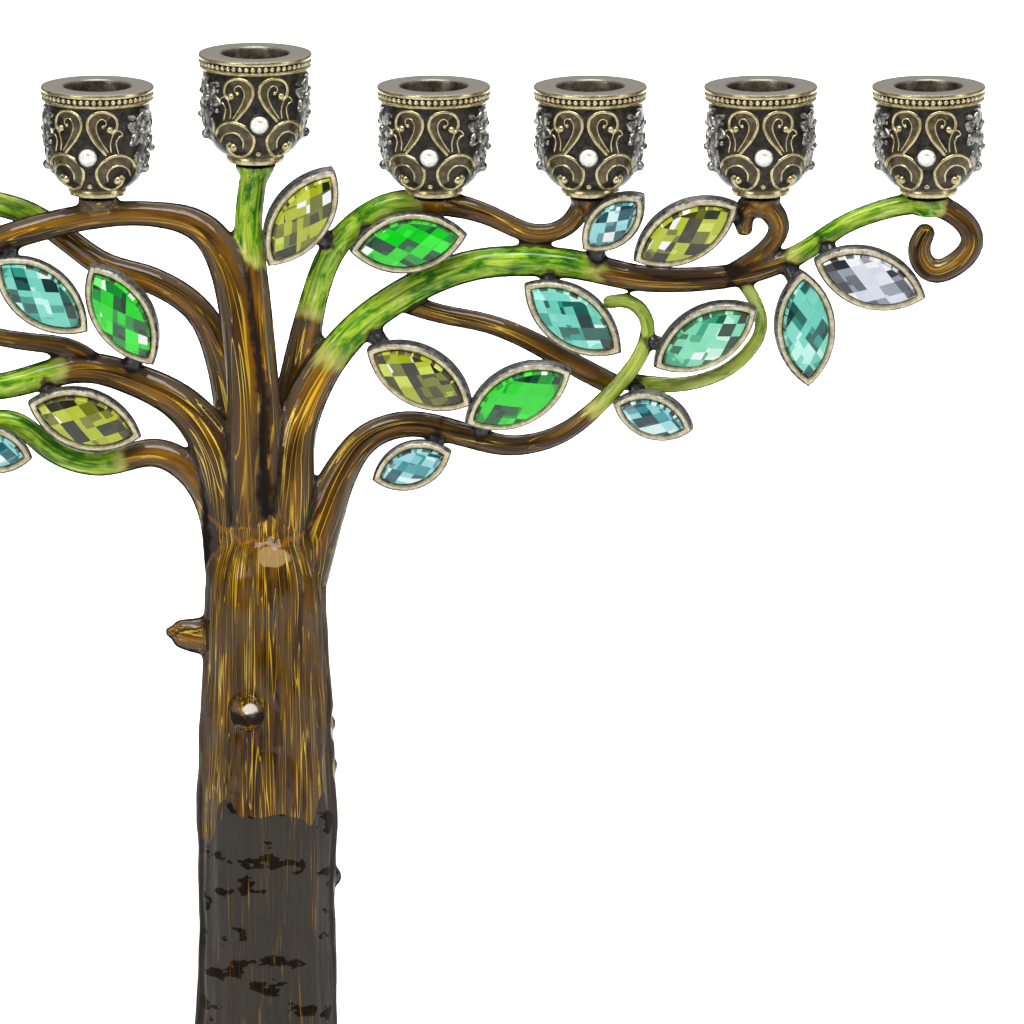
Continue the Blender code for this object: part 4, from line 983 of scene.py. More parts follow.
def strands():
    """Every run of the casting."""
    bark, fine, swell = sizes().bark_relief, sizes().bough_relief, sizes().trunk_swell
    spacing = 0.8 * MM
    made = [Strand("trunk", smooth_route(trunk_samples(), spacing)[0], ridge=bark, swell=swell, ends=(False, False))]
    for knot in knots():
        made.append(Strand("trunk", smooth_route(knot, spacing)[0], ridge=bark))
    for root in roots():
        made.append(Strand("trunk", smooth_route(root, spacing)[0], ridge=bark, swell=0.5 * swell))
    for name, bough in BOUGHS.items():
        samples, index = smooth_route([canopy_point(*point) for point in bough["route"]], spacing)
        samples = eased(samples)
        joint = index[bough["joint"]]
        owners = ["trunk" if at < joint else name for at in range(len(samples))]
        green = [green_share(bough, sample, at, index) for at, sample in enumerate(samples)]
        made.append(Strand(owners, samples, green=green, ridge=fine, ends=(not bough["joint"], True)))
        routes = list(samples[joint:])
        for twig in bough.get("twigs", []):
            twig_samples = eased(smooth_route([canopy_point(*point) for point in twig], spacing)[0])
            made.append(Strand(name, twig_samples, ridge=fine))
            routes += twig_samples
        for leaf, owner, size, centre, angle, turn, tip_up in LEAVES:
            if owner == name:
                web = web_to(routes, leaf_place(centre, angle, turn, tip_up), size)
                made.append(Strand(name, smooth_route(web, spacing)[0], metal=1.0, ridge=0))
    return made


def seat_pads(material):
    """The short necks that the cups stand on."""
    meshes = []
    for bough in BOUGHS.values():
        for cup in bough["cups"]:
            levels = [(SEAT_PAD_RADIUS * 0.55, -SEAT_PAD_HEIGHT), (SEAT_PAD_RADIUS * 0.97, -1.0 * MM),
                      (SEAT_PAD_RADIUS * 1.03, -0.25 * MM)]
            rings = [[(radius * cos(2 * pi * i / 24), radius * sin(2 * pi * i / 24), z) for i in range(24)]
                     for radius, z in levels]
            mesh = rings_mesh("seat", rings, [material], [0, 0])
            mesh.transform(cup_place(cup))
            meshes.append(mesh)
    return meshes


def remeshed(mesh, voxel):
    obj = bpy.data.objects.new("skin", mesh)
    bpy.context.scene.collection.objects.link(obj)
    modifier = obj.modifiers.new("skin", "REMESH")
    modifier.mode, modifier.voxel_size, modifier.use_smooth_shade = "VOXEL", voxel, True
    bpy.context.view_layer.update()
    graph = bpy.context.evaluated_depsgraph_get()
    made = bpy.data.meshes.new_from_object(obj.evaluated_get(graph))
    bpy.data.objects.remove(obj)
    return made


def edges_of(mesh):
    edges = np.empty(len(mesh.edges) * 2, np.int32)
    mesh.edges.foreach_get("vertices", edges)
    return edges.reshape(-1, 2)


def neighbour_mean(values, edges, count):
    """Each vertex's mean of its neighbours' values."""
    ends = np.concatenate([edges[:, 0], edges[:, 1]])
    others = np.concatenate([edges[:, 1], edges[:, 0]])
    degree = np.maximum(np.bincount(ends, minlength=count), 1)
    columns = [np.bincount(ends, weights=column[others], minlength=count) / degree for column in values.T]
    return np.stack(columns, axis=1)


def relaxed(points, edges, rounds):
    """Smooths a skin without shrinking it."""
    for _ in range(rounds):
        for weight in (0.55, -0.57):
            points = points + weight * (neighbour_mean(points, edges, len(points)) - points)
    return points


def nearest_strand(points, runs):
    """For each point: which sample of which strand's skin it lies on, and its place in that sample's frame."""
    centre, radius, tangent, across, back, along, green, metal, ridge, swell, owner = ([] for _ in range(11))
    shift = []
    names = ["trunk", *BOUGHS]
    travelled = 0.0
    for run in runs:
        places = np.array([tuple(sample) for sample in run.samples])
        ways = np.gradient(places[:, :3], axis=0)
        ways /= np.linalg.norm(ways, axis=1)[:, None]
        fore = np.tile((0.0, 1.0, 0.0), (len(ways), 1))
        fore[np.abs(ways[:, 1]) > 0.9] = (0, 0, 1)
        fore -= ways * np.sum(ways * fore, axis=1)[:, None]
        fore /= np.linalg.norm(fore, axis=1)[:, None]
        side = np.cross(ways, fore)
        steps = np.linalg.norm(np.diff(places[:, :3], axis=0), axis=1)
        length = np.concatenate([[0], np.cumsum(steps)]) + travelled
        travelled = length[-1] + 20 * MM
        level = np.argmin(np.abs(places[:, 2] - CROWN_LEVEL))
        start = (-places[level, 0], places[level, 1], places[level, 2] - length[level])
        shift.append(np.tile(start, (len(places), 1)))
        centre.append(places[:, :3]), radius.append(places[:, 3]), tangent.append(ways)
        across.append(side), back.append(fore), along.append(length)
        green.append(run.green), metal.append([run.metal] * len(places))
        ridge.append([run.ridge] * len(places)), swell.append([run.swell] * len(places))
        owner.append([names.index(name) for name in run.owners])
    centre, tangent, across, back = (np.concatenate(part) for part in (centre, tangent, across, back))
    radius, along, green, metal = (np.concatenate(part) for part in (radius, along, green, metal))
    ridge, swell, owner = (np.concatenate(part) for part in (ridge, swell, owner))

    usual = np.concatenate([np.full(len(run.samples), np.median([s[3] for s in run.samples])) for run in runs])
    number = np.concatenate([np.full(len(run.samples), at) for at, run in enumerate(runs)])
    best = np.empty(len(points), np.int64)
    groove = np.empty(len(points))
    starts = np.cumsum([0, *(len(run.samples) for run in runs[:-1])])
    for start in range(0, len(points), 4000):
        block = points[start:start + 4000]
        square = (block**2).sum(1)[:, None] + (centre**2).sum(1)[None] - 2 * block @ centre.T
        gap = np.sqrt(np.maximum(square, 0)) - radius
        best[start:start + 4000] = np.argmin(gap, axis=1)
        nearest = np.minimum.reduceat(gap, starts, axis=1)
        rest = np.sort(nearest[:, 1:], axis=1)
        groove[start:start + 4000] = np.where(nearest[:, 0] < rest[:, 0], 9, rest[:, 1] - rest[:, 0])
    away = points - centre[best]
    grain = np.stack([(away * across[best]).sum(1), (away * back[best]).sum(1),
                      along[best] + (away * tangent[best]).sum(1)], axis=1) / MM
    turn = grain[:, :2] / (radius[best] / MM)[:, None]
    grain[:, :2] *= ((usual[best] / radius[best]) ** 0.8)[:, None]
    grain += np.concatenate(shift)[best] / MM
    return {"grain": grain, "turn": turn, "run": number[best], "radius": radius[best] / MM, "green": green[best], "metal": metal[best],
            "ridge": ridge[best], "swell": swell[best], "owner": owner[best], "away": away, "names": names,
            "groove": groove / MM}


def edge_and_shade_measure(found):
    """Near 0 at the boughs' upper and lower edges, which are painted dark, partly as bare dark metal and partly as
    painted shade; lower still on their undersides and in the grooves between strands, where it gives painted shade;
    large on their faces.
    """
    turn = np.abs(found["turn"][:, 1])
    # Painted shade: the undersides count as nearer the edge, so they come out darker
    under = np.clip(-found["away"][:, 2] / (found["radius"] * MM), 0, 1)
    measure = turn - 0.45 * under + 0.0
    measure += np.clip((found["radius"] - 3) / 1.5, 0, 1)
    # Painted shade in the grooves between strands
    return np.minimum(measure, 0.15 + 0.55 * found["groove"])


def bury_under_foot(points):
    """The trunk's and roots' undersides follow just below the foot's surface."""
    share = np.hypot(points[:, 0] / (FOOT_LENGTH / 2), points[:, 1] / (FOOT_DEPTH / 2))
    floor = foot_height(share) - 0.5 * MM
    low = (points[:, 2] < floor) & (points[:, 2] < 20 * MM)
    points[low, 2] = floor[low]
    return points


def owner_of_faces(mesh, owner, edges, kinds):
    """Each face's owner, after stray specks have gone to their surroundings."""
    for _ in range(10):
        vote = neighbour_mean(np.eye(kinds)[owner], edges, len(owner))
        vote[np.arange(len(owner)), owner] += 0.26
        owner = np.argmax(vote, axis=1)
    first = np.empty(len(mesh.loops), np.int32)
    mesh.loops.foreach_get("vertex_index", first)
    starts = np.empty(len(mesh.polygons), np.int32)
    mesh.polygons.foreach_get("loop_start", starts)
    return owner[first[starts]]


def open_rims(shape):
    """The runs of open edges, each as (start, end) pairs in the order of the faces beside them."""
    waiting = {edge.link_loops[0] for edge in shape.edges if len(edge.link_loops) == 1}
    rims = []
    while waiting:
        first = min(waiting, key=lambda corner: corner.index)
        corner, rim = first, []
        while corner in waiting:
            waiting.discard(corner)
            rim.append((corner.vert, corner.link_loop_next.vert))
            corner = corner.link_loop_next
            while len(corner.edge.link_loops) > 1:
                corner = corner.link_loop_radial_next.link_loop_next
        rims.append(rim)
    return rims


def cut_out(mesh, name, chosen, corners, normals, layers):
    """The chosen faces as a closed piece: its open ends are capped inside the tree."""
    faces = corners[chosen]
    used, index = np.unique(faces, return_inverse=True)
    index = index.reshape(faces.shape)
    points = vertices_of(mesh)[used]
    piece = plain_mesh(name, points, faces=[tuple(int(i) for i in face) for face in index])
    shape = bmesh.new()
    shape.from_mesh(piece)
    count = 0
    for face in shape.faces:
        for corner in face.loops:
            corner.index = count
            count += 1
    rims = open_rims(shape)
    for rim in rims:
        centre = shape.verts.new(sum((start.co for start, _ in rim), Vector()) / len(rim))
        for start, end in rim:
            shape.faces.new((end, start, centre))
    shape.to_mesh(piece)
    shape.free()
    for key, values in layers.items():
        attribute(piece, key, np.concatenate([values[used], values[used][:len(rims)]]))
    piece.shade_smooth()
    smooth = [tuple(normal) for normal in normals[used]] + [(0, 0, 0)] * len(rims)
    piece.normals_split_custom_set_from_vertices(smooth)
    return piece


def make_casting():
    """The whole tree as one smooth skin, cut into the trunk and its boughs."""
    finish = enamel_finish("enamel")
    runs = strands()
    rough = joined("rough", [bars("bars", [run.line() for run in runs], finish, sides=24), *seat_pads(finish)])
    skin = remeshed(rough, sizes().skin)
    edges = edges_of(skin)
    points = relaxed(vertices_of(skin), edges, 5)
    points = bury_under_foot(points)
    set_vertices(skin, points)
    found = nearest_strand(points, runs)
    attribute(skin, "grain", found["grain"])
    smooth = np.stack([found["ridge"], found["swell"], found["radius"], found["green"], edge_and_shade_measure(found)], axis=1)
    for _ in range(3):
        smooth = 0.4 * smooth + 0.6 * neighbour_mean(smooth, edges, len(points))
    grounded = np.clip((points[:, 2] - FOOT_TOP) / (3 * MM), 0, 1)
    attribute(skin, "swell", smooth[:, 1] * grounded * 2)
    metal = found["metal"].copy()
    for cup in CUPS:
        seat = cup_place(cup).translation
        near = np.hypot(points[:, 0] - seat.x, points[:, 1] - seat.y) < 3.4 * MM
        metal[near & (points[:, 2] > seat.z - 0.5 * MM) & (points[:, 2] < seat.z + MM)] = 1
    metal = neighbour_mean(metal[:, None], edges, len(points))[:, 0]
    split = found["run"][edges[:, 0]] != found["run"][edges[:, 1]]
    seam = np.zeros(len(points))
    seam[edges[split].ravel()] = 1
    seam = np.clip(1.6 * neighbour_mean(seam[:, None], edges, len(points))[:, 0] + 0.4 * seam, 0, 1)
    quiet = seam[:, None]
    for _ in range(4):
        quiet = np.maximum(quiet, 1.7 * neighbour_mean(quiet, edges, len(points)))
    attribute(skin, "ridge", smooth[:, 0] * grounded * 2 * (1 - np.clip(quiet[:, 0], 0, 1)))
    carved = shaped(skin, tree_named("Relief along the grain", build_relief_tree), finish)
    normals = np.empty(len(carved.vertices) * 3, np.float32)
    carved.vertex_normals.foreach_get("vector", normals)
    normals = normals.reshape(-1, 3)
    corners = np.empty(len(carved.loops), np.int32)
    carved.loops.foreach_get("vertex_index", corners)
    corners = corners.reshape(-1, 4)
    owner = owner_of_faces(carved, found["owner"], edges, len(found["names"]))
    layers = {"grain": found["grain"], "bar": np.stack([smooth[:, 2], smooth[:, 3], metal], axis=1),
              "rim": np.stack([smooth[:, 4], np.abs(found["turn"][:, 0]), seam], axis=1)}
    for number, name in enumerate(found["names"]):
        piece = cut_out(carved, name, owner == number, corners, normals, layers)
        piece.materials.append(finish)
        slot = BOUGHS[name]["slot"] if name in BOUGHS else "brown_enamel"
        add_piece(f"{name}_cast", piece, slot, name)


# Settings and crystals


def make_settings():
    """The bezels round the leaves: a rubbed lip, a dark wall and a closed back."""
    tint = colours()
    lip = antique_metal("old_gold_lip", (0.5, 0.4, 0.22), (0.92, 0.82, 0.58), 0.45, 0.36, 0.9)
    wall = antique_metal("setting_wall", tint.gunmetal, (0.36, 0.35, 0.33), 0.85, 0.36)
    levels = [(0.1, -2.2, 1), (0.2, -2.0, 1), (0.2, -0.4, 1), (0.07, -0.22, 0), (0.14, -0.04, 0), (0.34, 0.08, 0),
              (0.56, 0.09, 0), (0.78, 0.02, 0), (0.95, -0.15, 1), (1.1, -0.4, 1), (1.13, -0.6, 1), (1.06, -1.0, 1), (1.1, -1.5, 1),
              (1.02, -2.5, 1), (0.8, -3.0, 1), (0.4, -3.2, 1)]
    for bough in BOUGHS:
        meshes = []
        for _, owner, size, centre, angle, turn, tip_up in LEAVES:
            if owner != bough:
                continue
            rings = []
            for offset, z, _ in levels:
                rings.append([(x, y, z * MM) for x, y in pointed_oval(size, offset * MM, 22)])
            mesh = rings_mesh("setting", rings, [lip, wall], [max(a[2], b[2]) for a, b in zip(levels, levels[1:])])
            mesh.transform(leaf_place(centre, angle, turn, tip_up))
            meshes.append(smooth_shade(mesh, 50))
        if meshes:
            add_piece(f"{bough}_settings", joined("settings", meshes), "cup_metal")


def facet_height(x, y, edge, slope, top, lean=radians(34)):
    """The height of a dome made of flat rhombic facets."""
    u = 0.5 * (x / cos(lean) + y / sin(lean)) / edge
    v = 0.5 * (x / cos(lean) - y / sin(lean)) / edge
    fall = 0.0
    for way in (u + 0.5, v + 0.5):
        low = np.floor(way)
        share = way - low
        fall = fall + (1 - share) * (low - 0.5) ** 2 + share * (low + 0.5) ** 2
    return top - slope * (fall - 0.5)


def crystal_mesh(name, size, seed, material):
    """A pointed oval with a domed front of rhombic facets, a bevel at its girdle and a closed back."""
    edge = sizes().facet_edge * (1.0 if size == LARGE else 0.8)
    lean = radians(34)
    shape = bmesh.new()
    inset = -0.3 * MM
    outline = [shape.verts.new((x, y, 0)) for x, y in pointed_oval(size, inset, 14)]
    shape.faces.new(outline)
    for sign in (1, -1):
        across = Vector((-sin(lean) * sign, cos(lean), 0)).normalized()
        gap = edge * sin(2 * lean)
        reach = int(size[0] / gap) + 1
        for line in range(-reach, reach):
            at = across * (line + 0.5) * gap
            bmesh.ops.bisect_plane(shape, geom=[*shape.verts, *shape.edges, *shape.faces], dist=1e-7,
                                   plane_co=at, plane_no=across)
    bmesh.ops.remove_doubles(shape, verts=shape.verts, dist=2e-5)
    top = CRYSTAL_DOME * 0.97
    half = np.array([size[0] / 2, size[1] / 2])
    fall_at_tip = facet_height(half[0], 0, edge, 1.0, 0.0)
    slope = (top - 0.32 * MM) / -fall_at_tip if fall_at_tip else 0
    for vertex in shape.verts:
        vertex.co.z = max(0.2 * MM, facet_height(vertex.co.x, vertex.co.y, edge, slope, top))
    rim = [e for e in shape.edges if len(e.link_faces) == 1]
    below = [(1.0, 0.0), (1.0, -0.4 * MM), (0.35, -POCKET_DEPTH + STONE_GAP)]
    ring = rim
    radius_grow = size[1] / (size[1] + 2 * inset)
    for grow, z in below:
        made = bmesh.ops.extrude_edge_only(shape, edges=ring)["geom"]
        verts = [item for item in made if isinstance(item, bmesh.types.BMVert)]
        for vertex in verts:
            if z == 0.0:
                vertex.co.x *= (size[0] / 2) / (pointed_oval(size, inset, 14)[0][0])
                vertex.co.y *= radius_grow
            else:
                vertex.co.x, vertex.co.y = vertex.co.x * grow, vertex.co.y * grow
            vertex.co.z = z
        ring = [item for item in made if isinstance(item, bmesh.types.BMEdge)]
        ring = [e for e in ring if len(e.link_faces) == 1]
    bmesh.ops.holes_fill(shape, edges=ring, sides=0)
    bmesh.ops.recalc_face_normals(shape, faces=shape.faces)
    mesh = bpy.data.meshes.new(name)
    shape.to_mesh(mesh)
    shape.free()
    mesh.materials.append(material)
    # Each facet's painted reflection: a random tone and its own mosaic offset, middling tones on the girdle and back,
    # and painted shade that grows towards the points and sides
    rng = np.random.default_rng(seed)
    tones, mosaics, tip_shades = [], [], []
    for face in mesh.polygons:
        tone = rng.uniform(0.0, 1.0)
        shift = rng.integers(-40, 40, 2) + rng.uniform(0.25, 0.75, 2)
        if face.center.z <= 0.15 * MM:
            tone = rng.uniform(0.25, 0.55)
        for vertex in face.vertices:
            x, y = mesh.vertices[vertex].co.xy
            u, v = (0.5 * (x / cos(lean) + sign * y / sin(lean)) / edge for sign in (1, -1))
            x, y = x / MM, y / MM
            tones.append(tone)
            mosaics.append((u * 0.8 + shift[0], v * 0.8 + shift[1], 0))
            tip_shades.append(min(1.0, (abs(x) / (half[0] / MM)) ** 1.6 * 0.8 + (abs(y) / (half[1] / MM)) ** 3 * 0.5))
    attribute(mesh, "tone", np.array(tones), "CORNER")
    attribute(mesh, "mosaic", np.array(mosaics), "CORNER")
    attribute(mesh, "tip_shade", np.array(tip_shades), "CORNER")
    return mesh


def make_crystals():
    finishes = {}
    for number, (name, _, size, centre, angle, turn, tip_up) in enumerate(LEAVES):
        kind = name.split("_")[0]
        if kind not in finishes:
            finishes[kind] = crystal_finish(kind)
        mesh = crystal_mesh(name, size, number, finishes[kind])
        mesh.transform(leaf_place(centre, angle, turn, tip_up))
        add_piece(f"leaf_{name}", mesh, f"crystal_{kind}", f"crystal_{name}")


# Candle cups, in millimetres round the cup's axis: heights above its seat, angles from its front


CUP_SIDE = [  # radius, height, finish of the strip that follows: ground, ridge, rim, socket
    (0.01, 4.2, "socket"), (4.6, 4.2, "socket"), (4.95, 4.5, "socket"), (5.0, 10, "socket"), (5.0, 16.2, "socket"),
    (5.06, 16.5, "rim"), (5.25, 16.68, "rim"), (6.1, 16.7, "rim"), (7.2, 16.7, "rim"), (8.2, 16.7, "rim"),
    (8.42, 16.64, "ridge"), (8.5, 16.5, "ridge"), (8.5, 16.2, "ridge"), (8.42, 16.04, "ground"),
    (7.9, 15.98, "ground"), (7.85, 15.5, "ground"), (7.9, 15.08, "ridge"), (8.2, 15.02, "ridge"),
    (8.36, 14.86, "ridge"), (8.36, 14.68, "ridge"), (8.2, 14.5, "ground"), (7.9, 14.4, "ground"),
    (7.86, 12, "ground"), (7.86, 9.5, "ground"), (7.82, 8, "ground"), (7.6, 6.6, "ground"), (7.25, 5, "ground"),
    (6.85, 3.8, "ground"), (6.2, 2.7, "ground"), (5.3, 1.8, "ground"), (4.3, 1.3, "ridge"), (4.4, 1.0, "ridge"),
    (4.42, 0.6, "ridge"), (4.3, 0.3, "ground"), (3.4, 0.12, "ground"), (1.35, 0.1, "ground"),
    (1.3, -1.7, "ground"), (0.01, -1.8, "ground"),
]

CUP_BODY_TOP = 20

# One scroll of each pair as (angle, height): its outer ridge, its inner ridge and its end ball
UPPER_OUTER = [(20.6, 7.43), (13.5, 8.56), (7.1, 9.63), (2.8, 10.7), (0, 11.7), (0.6, 12.8), (4.9, 13.6),
               (12.5, 14.05), (21.2, 13.97), (27.9, 13.5), (32, 12.7), (32.5, 11.77), (29.5, 11.0), (25.5, 10.9)]
UPPER_INNER = [(23, 7.9), (17.5, 9.0), (12.5, 10.2), (9.6, 11.3), (9.8, 12.2), (13, 12.85), (17.5, 12.95),
               (20.5, 12.5), (19.5, 12.0), (17.2, 11.8)]
UPPER_LEAF = [(34.5, 7.6), (31.5, 9.3), (34.8, 10.1), (39.2, 10.4), (36.5, 11.0), (31, 11.1), (27.5, 10.4),
              (25, 9.2), (26, 7.9)]
LOWER_OUTER = [(61, 4.86), (54.2, 6.2), (43.4, 7.1), (32, 7.35), (22.7, 6.97), (14.8, 6.2), (9.8, 5.1),
               (10.5, 3.8), (16.2, 2.6), (27.1, 1.9), (39.3, 1.96), (45.7, 2.7), (44.4, 3.7), (39, 4.1)]
LOWER_INNER = [(24.5, 3.2), (22.6, 4.4), (27.1, 5.4), (37, 5.75), (48.5, 5.1), (55.7, 3.9)]


def cup_radius(z):
    """The cup's side at a height, for what stands on it."""
    side = sorted((h, r) for r, h, _ in CUP_SIDE[CUP_BODY_TOP:] if 1.3 <= h <= 14.4)
    return np.interp(z, [p[0] for p in side], [p[1] for p in side])


def bent_round(points, turn=0.0):
    """Flat relief of (angle, height, out) in degrees and millimetres, bent round the cup, in metres."""
    points = np.asarray(points, float)
    angle = np.radians(points[:, 0] + turn)
    radius = cup_radius(points[:, 1]) + points[:, 2]
    return np.stack([radius * np.sin(angle), -radius * np.cos(angle), points[:, 1]], axis=1) * MM


def rounded(points, steps=4):
    """A smooth flat line through (angle, height) points."""
    line = [Vector((x, y, 0, 0)) for x, y in points]
    ends = [line[0] * 2 - line[1], *line, line[-1] * 2 - line[-2]]
    made = []
    for before, start, end, after in zip(ends, ends[1:], ends[2:], ends[3:]):
        for step in range(steps):
            t = step / steps
            made.append(0.5 * (2 * start + (end - before) * t + (2 * before - 5 * start + 4 * end - after) * t**2
                               + (3 * start - before - 3 * end + after) * t**3))
    made.append(line[-1])
    return [(point.x, point.y) for point in made]


def even(points, count):
    """The line again with equal steps."""
    points = np.array(points)
    steps = np.hypot(np.diff(points[:, 0]) * 0.138, np.diff(points[:, 1]))
    along = np.concatenate([[0], np.cumsum(steps)])
    at = np.linspace(0, along[-1], count)
    return np.stack([np.interp(at, along, points[:, 0]), np.interp(at, along, points[:, 1])], axis=1)


def mirrored(points, axis):
    return [(2 * axis - angle, z) for angle, z in points]


def ridge_line(points, thick, turn, out=0.0):
    line = np.array([(angle, z, out) for angle, z in points])
    placed = bent_round(line, turn)
    radii = np.full(len(placed), thick)
    radii[0] *= 0.5
    radii[-1] *= 0.6
    return [(*place, radius) for place, radius in zip(placed, radii)]


def channel_fill(outer, inner, turn, material, out=0.1):
    """Enamel between two ridges: a thin closed strip, a little hollow along its middle."""
    count = 28
    first, second = even(outer, count), even(inner, count)
    rings = []
    for a, b in zip(first, second):
        section = []
        for share, lift in [(0, -0.15), (0, out), (0.5, out - 0.06), (1, out), (1, -0.15)]:
            angle, z = a + (b - a) * share
            section.append((angle, z, lift))
        rings.append([tuple(point) for point in bent_round(section, turn)])
    return smooth_shade(rings_mesh("channel", rings, [material], [0] * (count - 1)), 40)


def ball(angle, z, radius, out, turn, material):
    shape = bmesh.new()
    bmesh.ops.create_uvsphere(shape, u_segments=10, v_segments=7, radius=radius * MM)
    mesh = bpy.data.meshes.new("ball")
    shape.to_mesh(mesh)
    shape.free()
    mesh.transform(Matrix.Translation(bent_round([(angle, z, out)], turn)[0]))
    mesh.materials.append(material)
    return smooth_shade(mesh)


def petal_mesh(length, width, material, rise=0.35):
    """A small pointed petal along X with a sunk middle vein, closed below, in millimetres."""
    rows = []
    for share in (0.0, 0.12, 0.3, 0.5, 0.7, 0.88, 1.0):
        half = width / 2 * max(0.06, sin(pi * share**0.8) ** 0.8)
        lift = rise * (0.55 + 0.6 * sin(pi * share))
        rows.append([(share * length, y * half, z) for y, z in
                     [(-1, -0.2), (-1, lift * 0.35), (-0.55, lift), (0, lift * 0.62), (0.55, lift), (1, lift * 0.35),
                      (1, -0.2)]])
    return rings_mesh("petal", rows, [material], [0] * (len(rows) - 1))


def wrapped(mesh, angle, z, spin, turn):
    """Flat relief in millimetres, spun and bent round the cup at a place."""
    points = vertices_of(mesh)
    c, s = cos(radians(spin)), sin(radians(spin))
    x = points[:, 0] * c - points[:, 1] * s
    y = points[:, 0] * s + points[:, 1] * c
    flat = np.stack([angle + np.degrees(x / 7.9), z + y, points[:, 2]], axis=1)
    set_vertices(mesh, bent_round(flat, turn))
    return outward(mesh)


def side_blossoms(turn, way, material):
    """The cast cluster on a cup's side: three flowers, leaves and a lug. way is -1 for its mirror image."""
    tree = tree_named("Petals round a centre", build_flower_tree)
    meshes = []
    for angle, z, petals, length, width, spin in [(-26, 10.7, 5, 2.7, 1.9, 12), (9, 7.3, 5, 2.4, 1.8, 40),
                                                  (36, 11.0, 5, 2.5, 1.8, 20)]:
        petal = petal_mesh(length, width, material)
        flower = shaped(petal, tree, material, Petals=petals, Spread=0.25, Lean=-0.06)
        meshes.append(wrapped(flower, way * angle, z, way * spin, turn))
        meshes.append(ball(way * angle, z, 0.55, 0.4, turn, material))
    for angle, z, length, width, spin in [(-30, 7.6, 3.2, 1.6, -75), (-14, 6.2, 3.0, 1.6, -120), (-8, 12.9, 3.0, 1.4, 160),
                                          (8, 12.3, 3.2, 1.6, -20), (30, 7.6, 3.2, 1.5, -60), (22, 4.4, 2.4, 1.2, 150),
                                          (-12, 3.9, 2.4, 1.2, 20), (47, 7.4, 2.6, 1.3, 80), (-45, 13.2, 2.0, 1.1, -20),
                                          (16, 10.0, 2.2, 1.2, 100)]:
        meshes.append(wrapped(petal_mesh(length, width, material), way * angle, z, spin if way > 0 else 180 - spin,
                              turn))
    for angle, z, radius, out in [(-2, 11.2, 0.45, 0.15), (-40, 8.9, 0.4, 0.1), (24, 9.2, 0.42, 0.1),
                                  (-8, 4.7, 0.8, 0.3), (-9, 9.0, 0.4, 0.15), (8, 4.5, 0.5, 0.2), (-41, 11.9, 0.3, 0.1)]:
        meshes.append(ball(way * angle, z, radius, out, turn, material))
    return [smooth_shade(mesh, 60) for mesh in meshes]


def scroll_face(turn, has_stone, ridge, fill, ground):
    """The pairs of scrolls on a cup's front or back."""
    lines, meshes = [], []
    thick = sizes().ridge_radius
    for points, kind, axis in [(UPPER_OUTER, 1.0, -3.5), (UPPER_INNER, 0.42, -3.5), (UPPER_LEAF, 0.5, -3.5),
                               (LOWER_OUTER, 1.0, 1.8), (LOWER_INNER, 0.6, 1.8)]:
        for line in (rounded(points), rounded(mirrored(points, axis))):
            lines.append(ridge_line(line, thick * kind, turn, 0.08 * kind))
    for outer, inner, axis in [(UPPER_OUTER[:10], UPPER_INNER[:8], -3.5), (LOWER_OUTER[:9], LOWER_INNER[::-1], 1.8)]:
        for flip in (False, True):
            pair = [mirrored(line, axis) if flip else line for line in (outer, inner)]
            meshes.append(channel_fill(rounded(pair[0]), rounded(pair[1]), turn, fill))
    for angle, z, radius, axis in [(24.3, 11.35, 0.55, -3.5), (16.8, 11.85, 0.3, -3.5), (37, 3.4, 0.68, 1.8)]:
        for place in (angle, 2 * axis - angle):
            meshes.append(ball(place, z, radius, 0.12, turn, ridge))
    meshes.append(ball(0, 2.45, 0.45, 0.1, turn, ridge))
    if has_stone:
        ring = []
        for step in range(25):
            way = 2 * pi * step / 24
            ring.append((1.62 * MM * cos(way), -(STONE_WALL + 0.32) * MM, (STONE_HEIGHT + 1.62 * sin(way)) * MM, 0.2 * MM))
        meshes.append(bars("stone_rim", [ring], ground, sides=8))
    return meshes + [bars("ridges", lines, ridge, sides=8)]


def cup_mesh():
    """One cup with all its relief, standing on its seat."""
    tint = colours()
    finishes = {
        "ground": antique_metal("cup_ground", (0.008, 0.007, 0.006), (0.055, 0.047, 0.038), 0.6, 0.3, 0.9),
        "ridge": antique_metal("cup_ridge", (0.42, 0.34, 0.16), tint.old_gold, 0.9, 0.2, 0.8),
        "rim": brushed_rim("cup_rim"),
        "socket": antique_metal("cup_socket", (0.07, 0.06, 0.045), (0.3, 0.26, 0.19), 0.8, 0.35, 0.5),
    }
    pewter = antique_metal("cup_pewter", (0.035, 0.033, 0.03), (0.62, 0.6, 0.55), 0.9, 0.24, 1.1)
    bright = antique_metal("cup_bead", (0.5, 0.42, 0.25), (0.88, 0.8, 0.56), 0.85, 0.25, 0.6)
    fill = cup_enamel("cup_enamel")
    order = list(finishes)
    steps = 96
    rings = [[(r * MM * cos(2 * pi * i / steps), r * MM * sin(2 * pi * i / steps), z * MM) for i in range(steps)]
             for r, z, _ in CUP_SIDE]
    shell = rings_mesh("shell", rings, [finishes[key] for key in order], [order.index(row[2]) for row in CUP_SIDE[:-1]])
    layer = shell.uv_layers.new(name="turned")
    for loop in shell.loops:
        x, y, _ = shell.vertices[loop.vertex_index].co
        layer.data[loop.index].uv = (0.5, np.hypot(x, y) / MM)
    smooth_shade(shell, 38)
    beads = shaped(plain_mesh("start", []), tree_named("Beads round a ring", build_bead_tree), bright,
                   Count=sizes().bead_count, Ring_radius=8.06 * MM, Bead_radius=sizes().bead_radius,
                   Height=15.52 * MM)
    meshes = [shell, beads]
    meshes += scroll_face(0, True, finishes["ridge"], fill, finishes["ground"])
    meshes += scroll_face(180, False, finishes["ridge"], fill, finishes["ground"])
    meshes += side_blossoms(90, 1, pewter) + side_blossoms(-90, -1, pewter)
    return joined("cup", meshes)


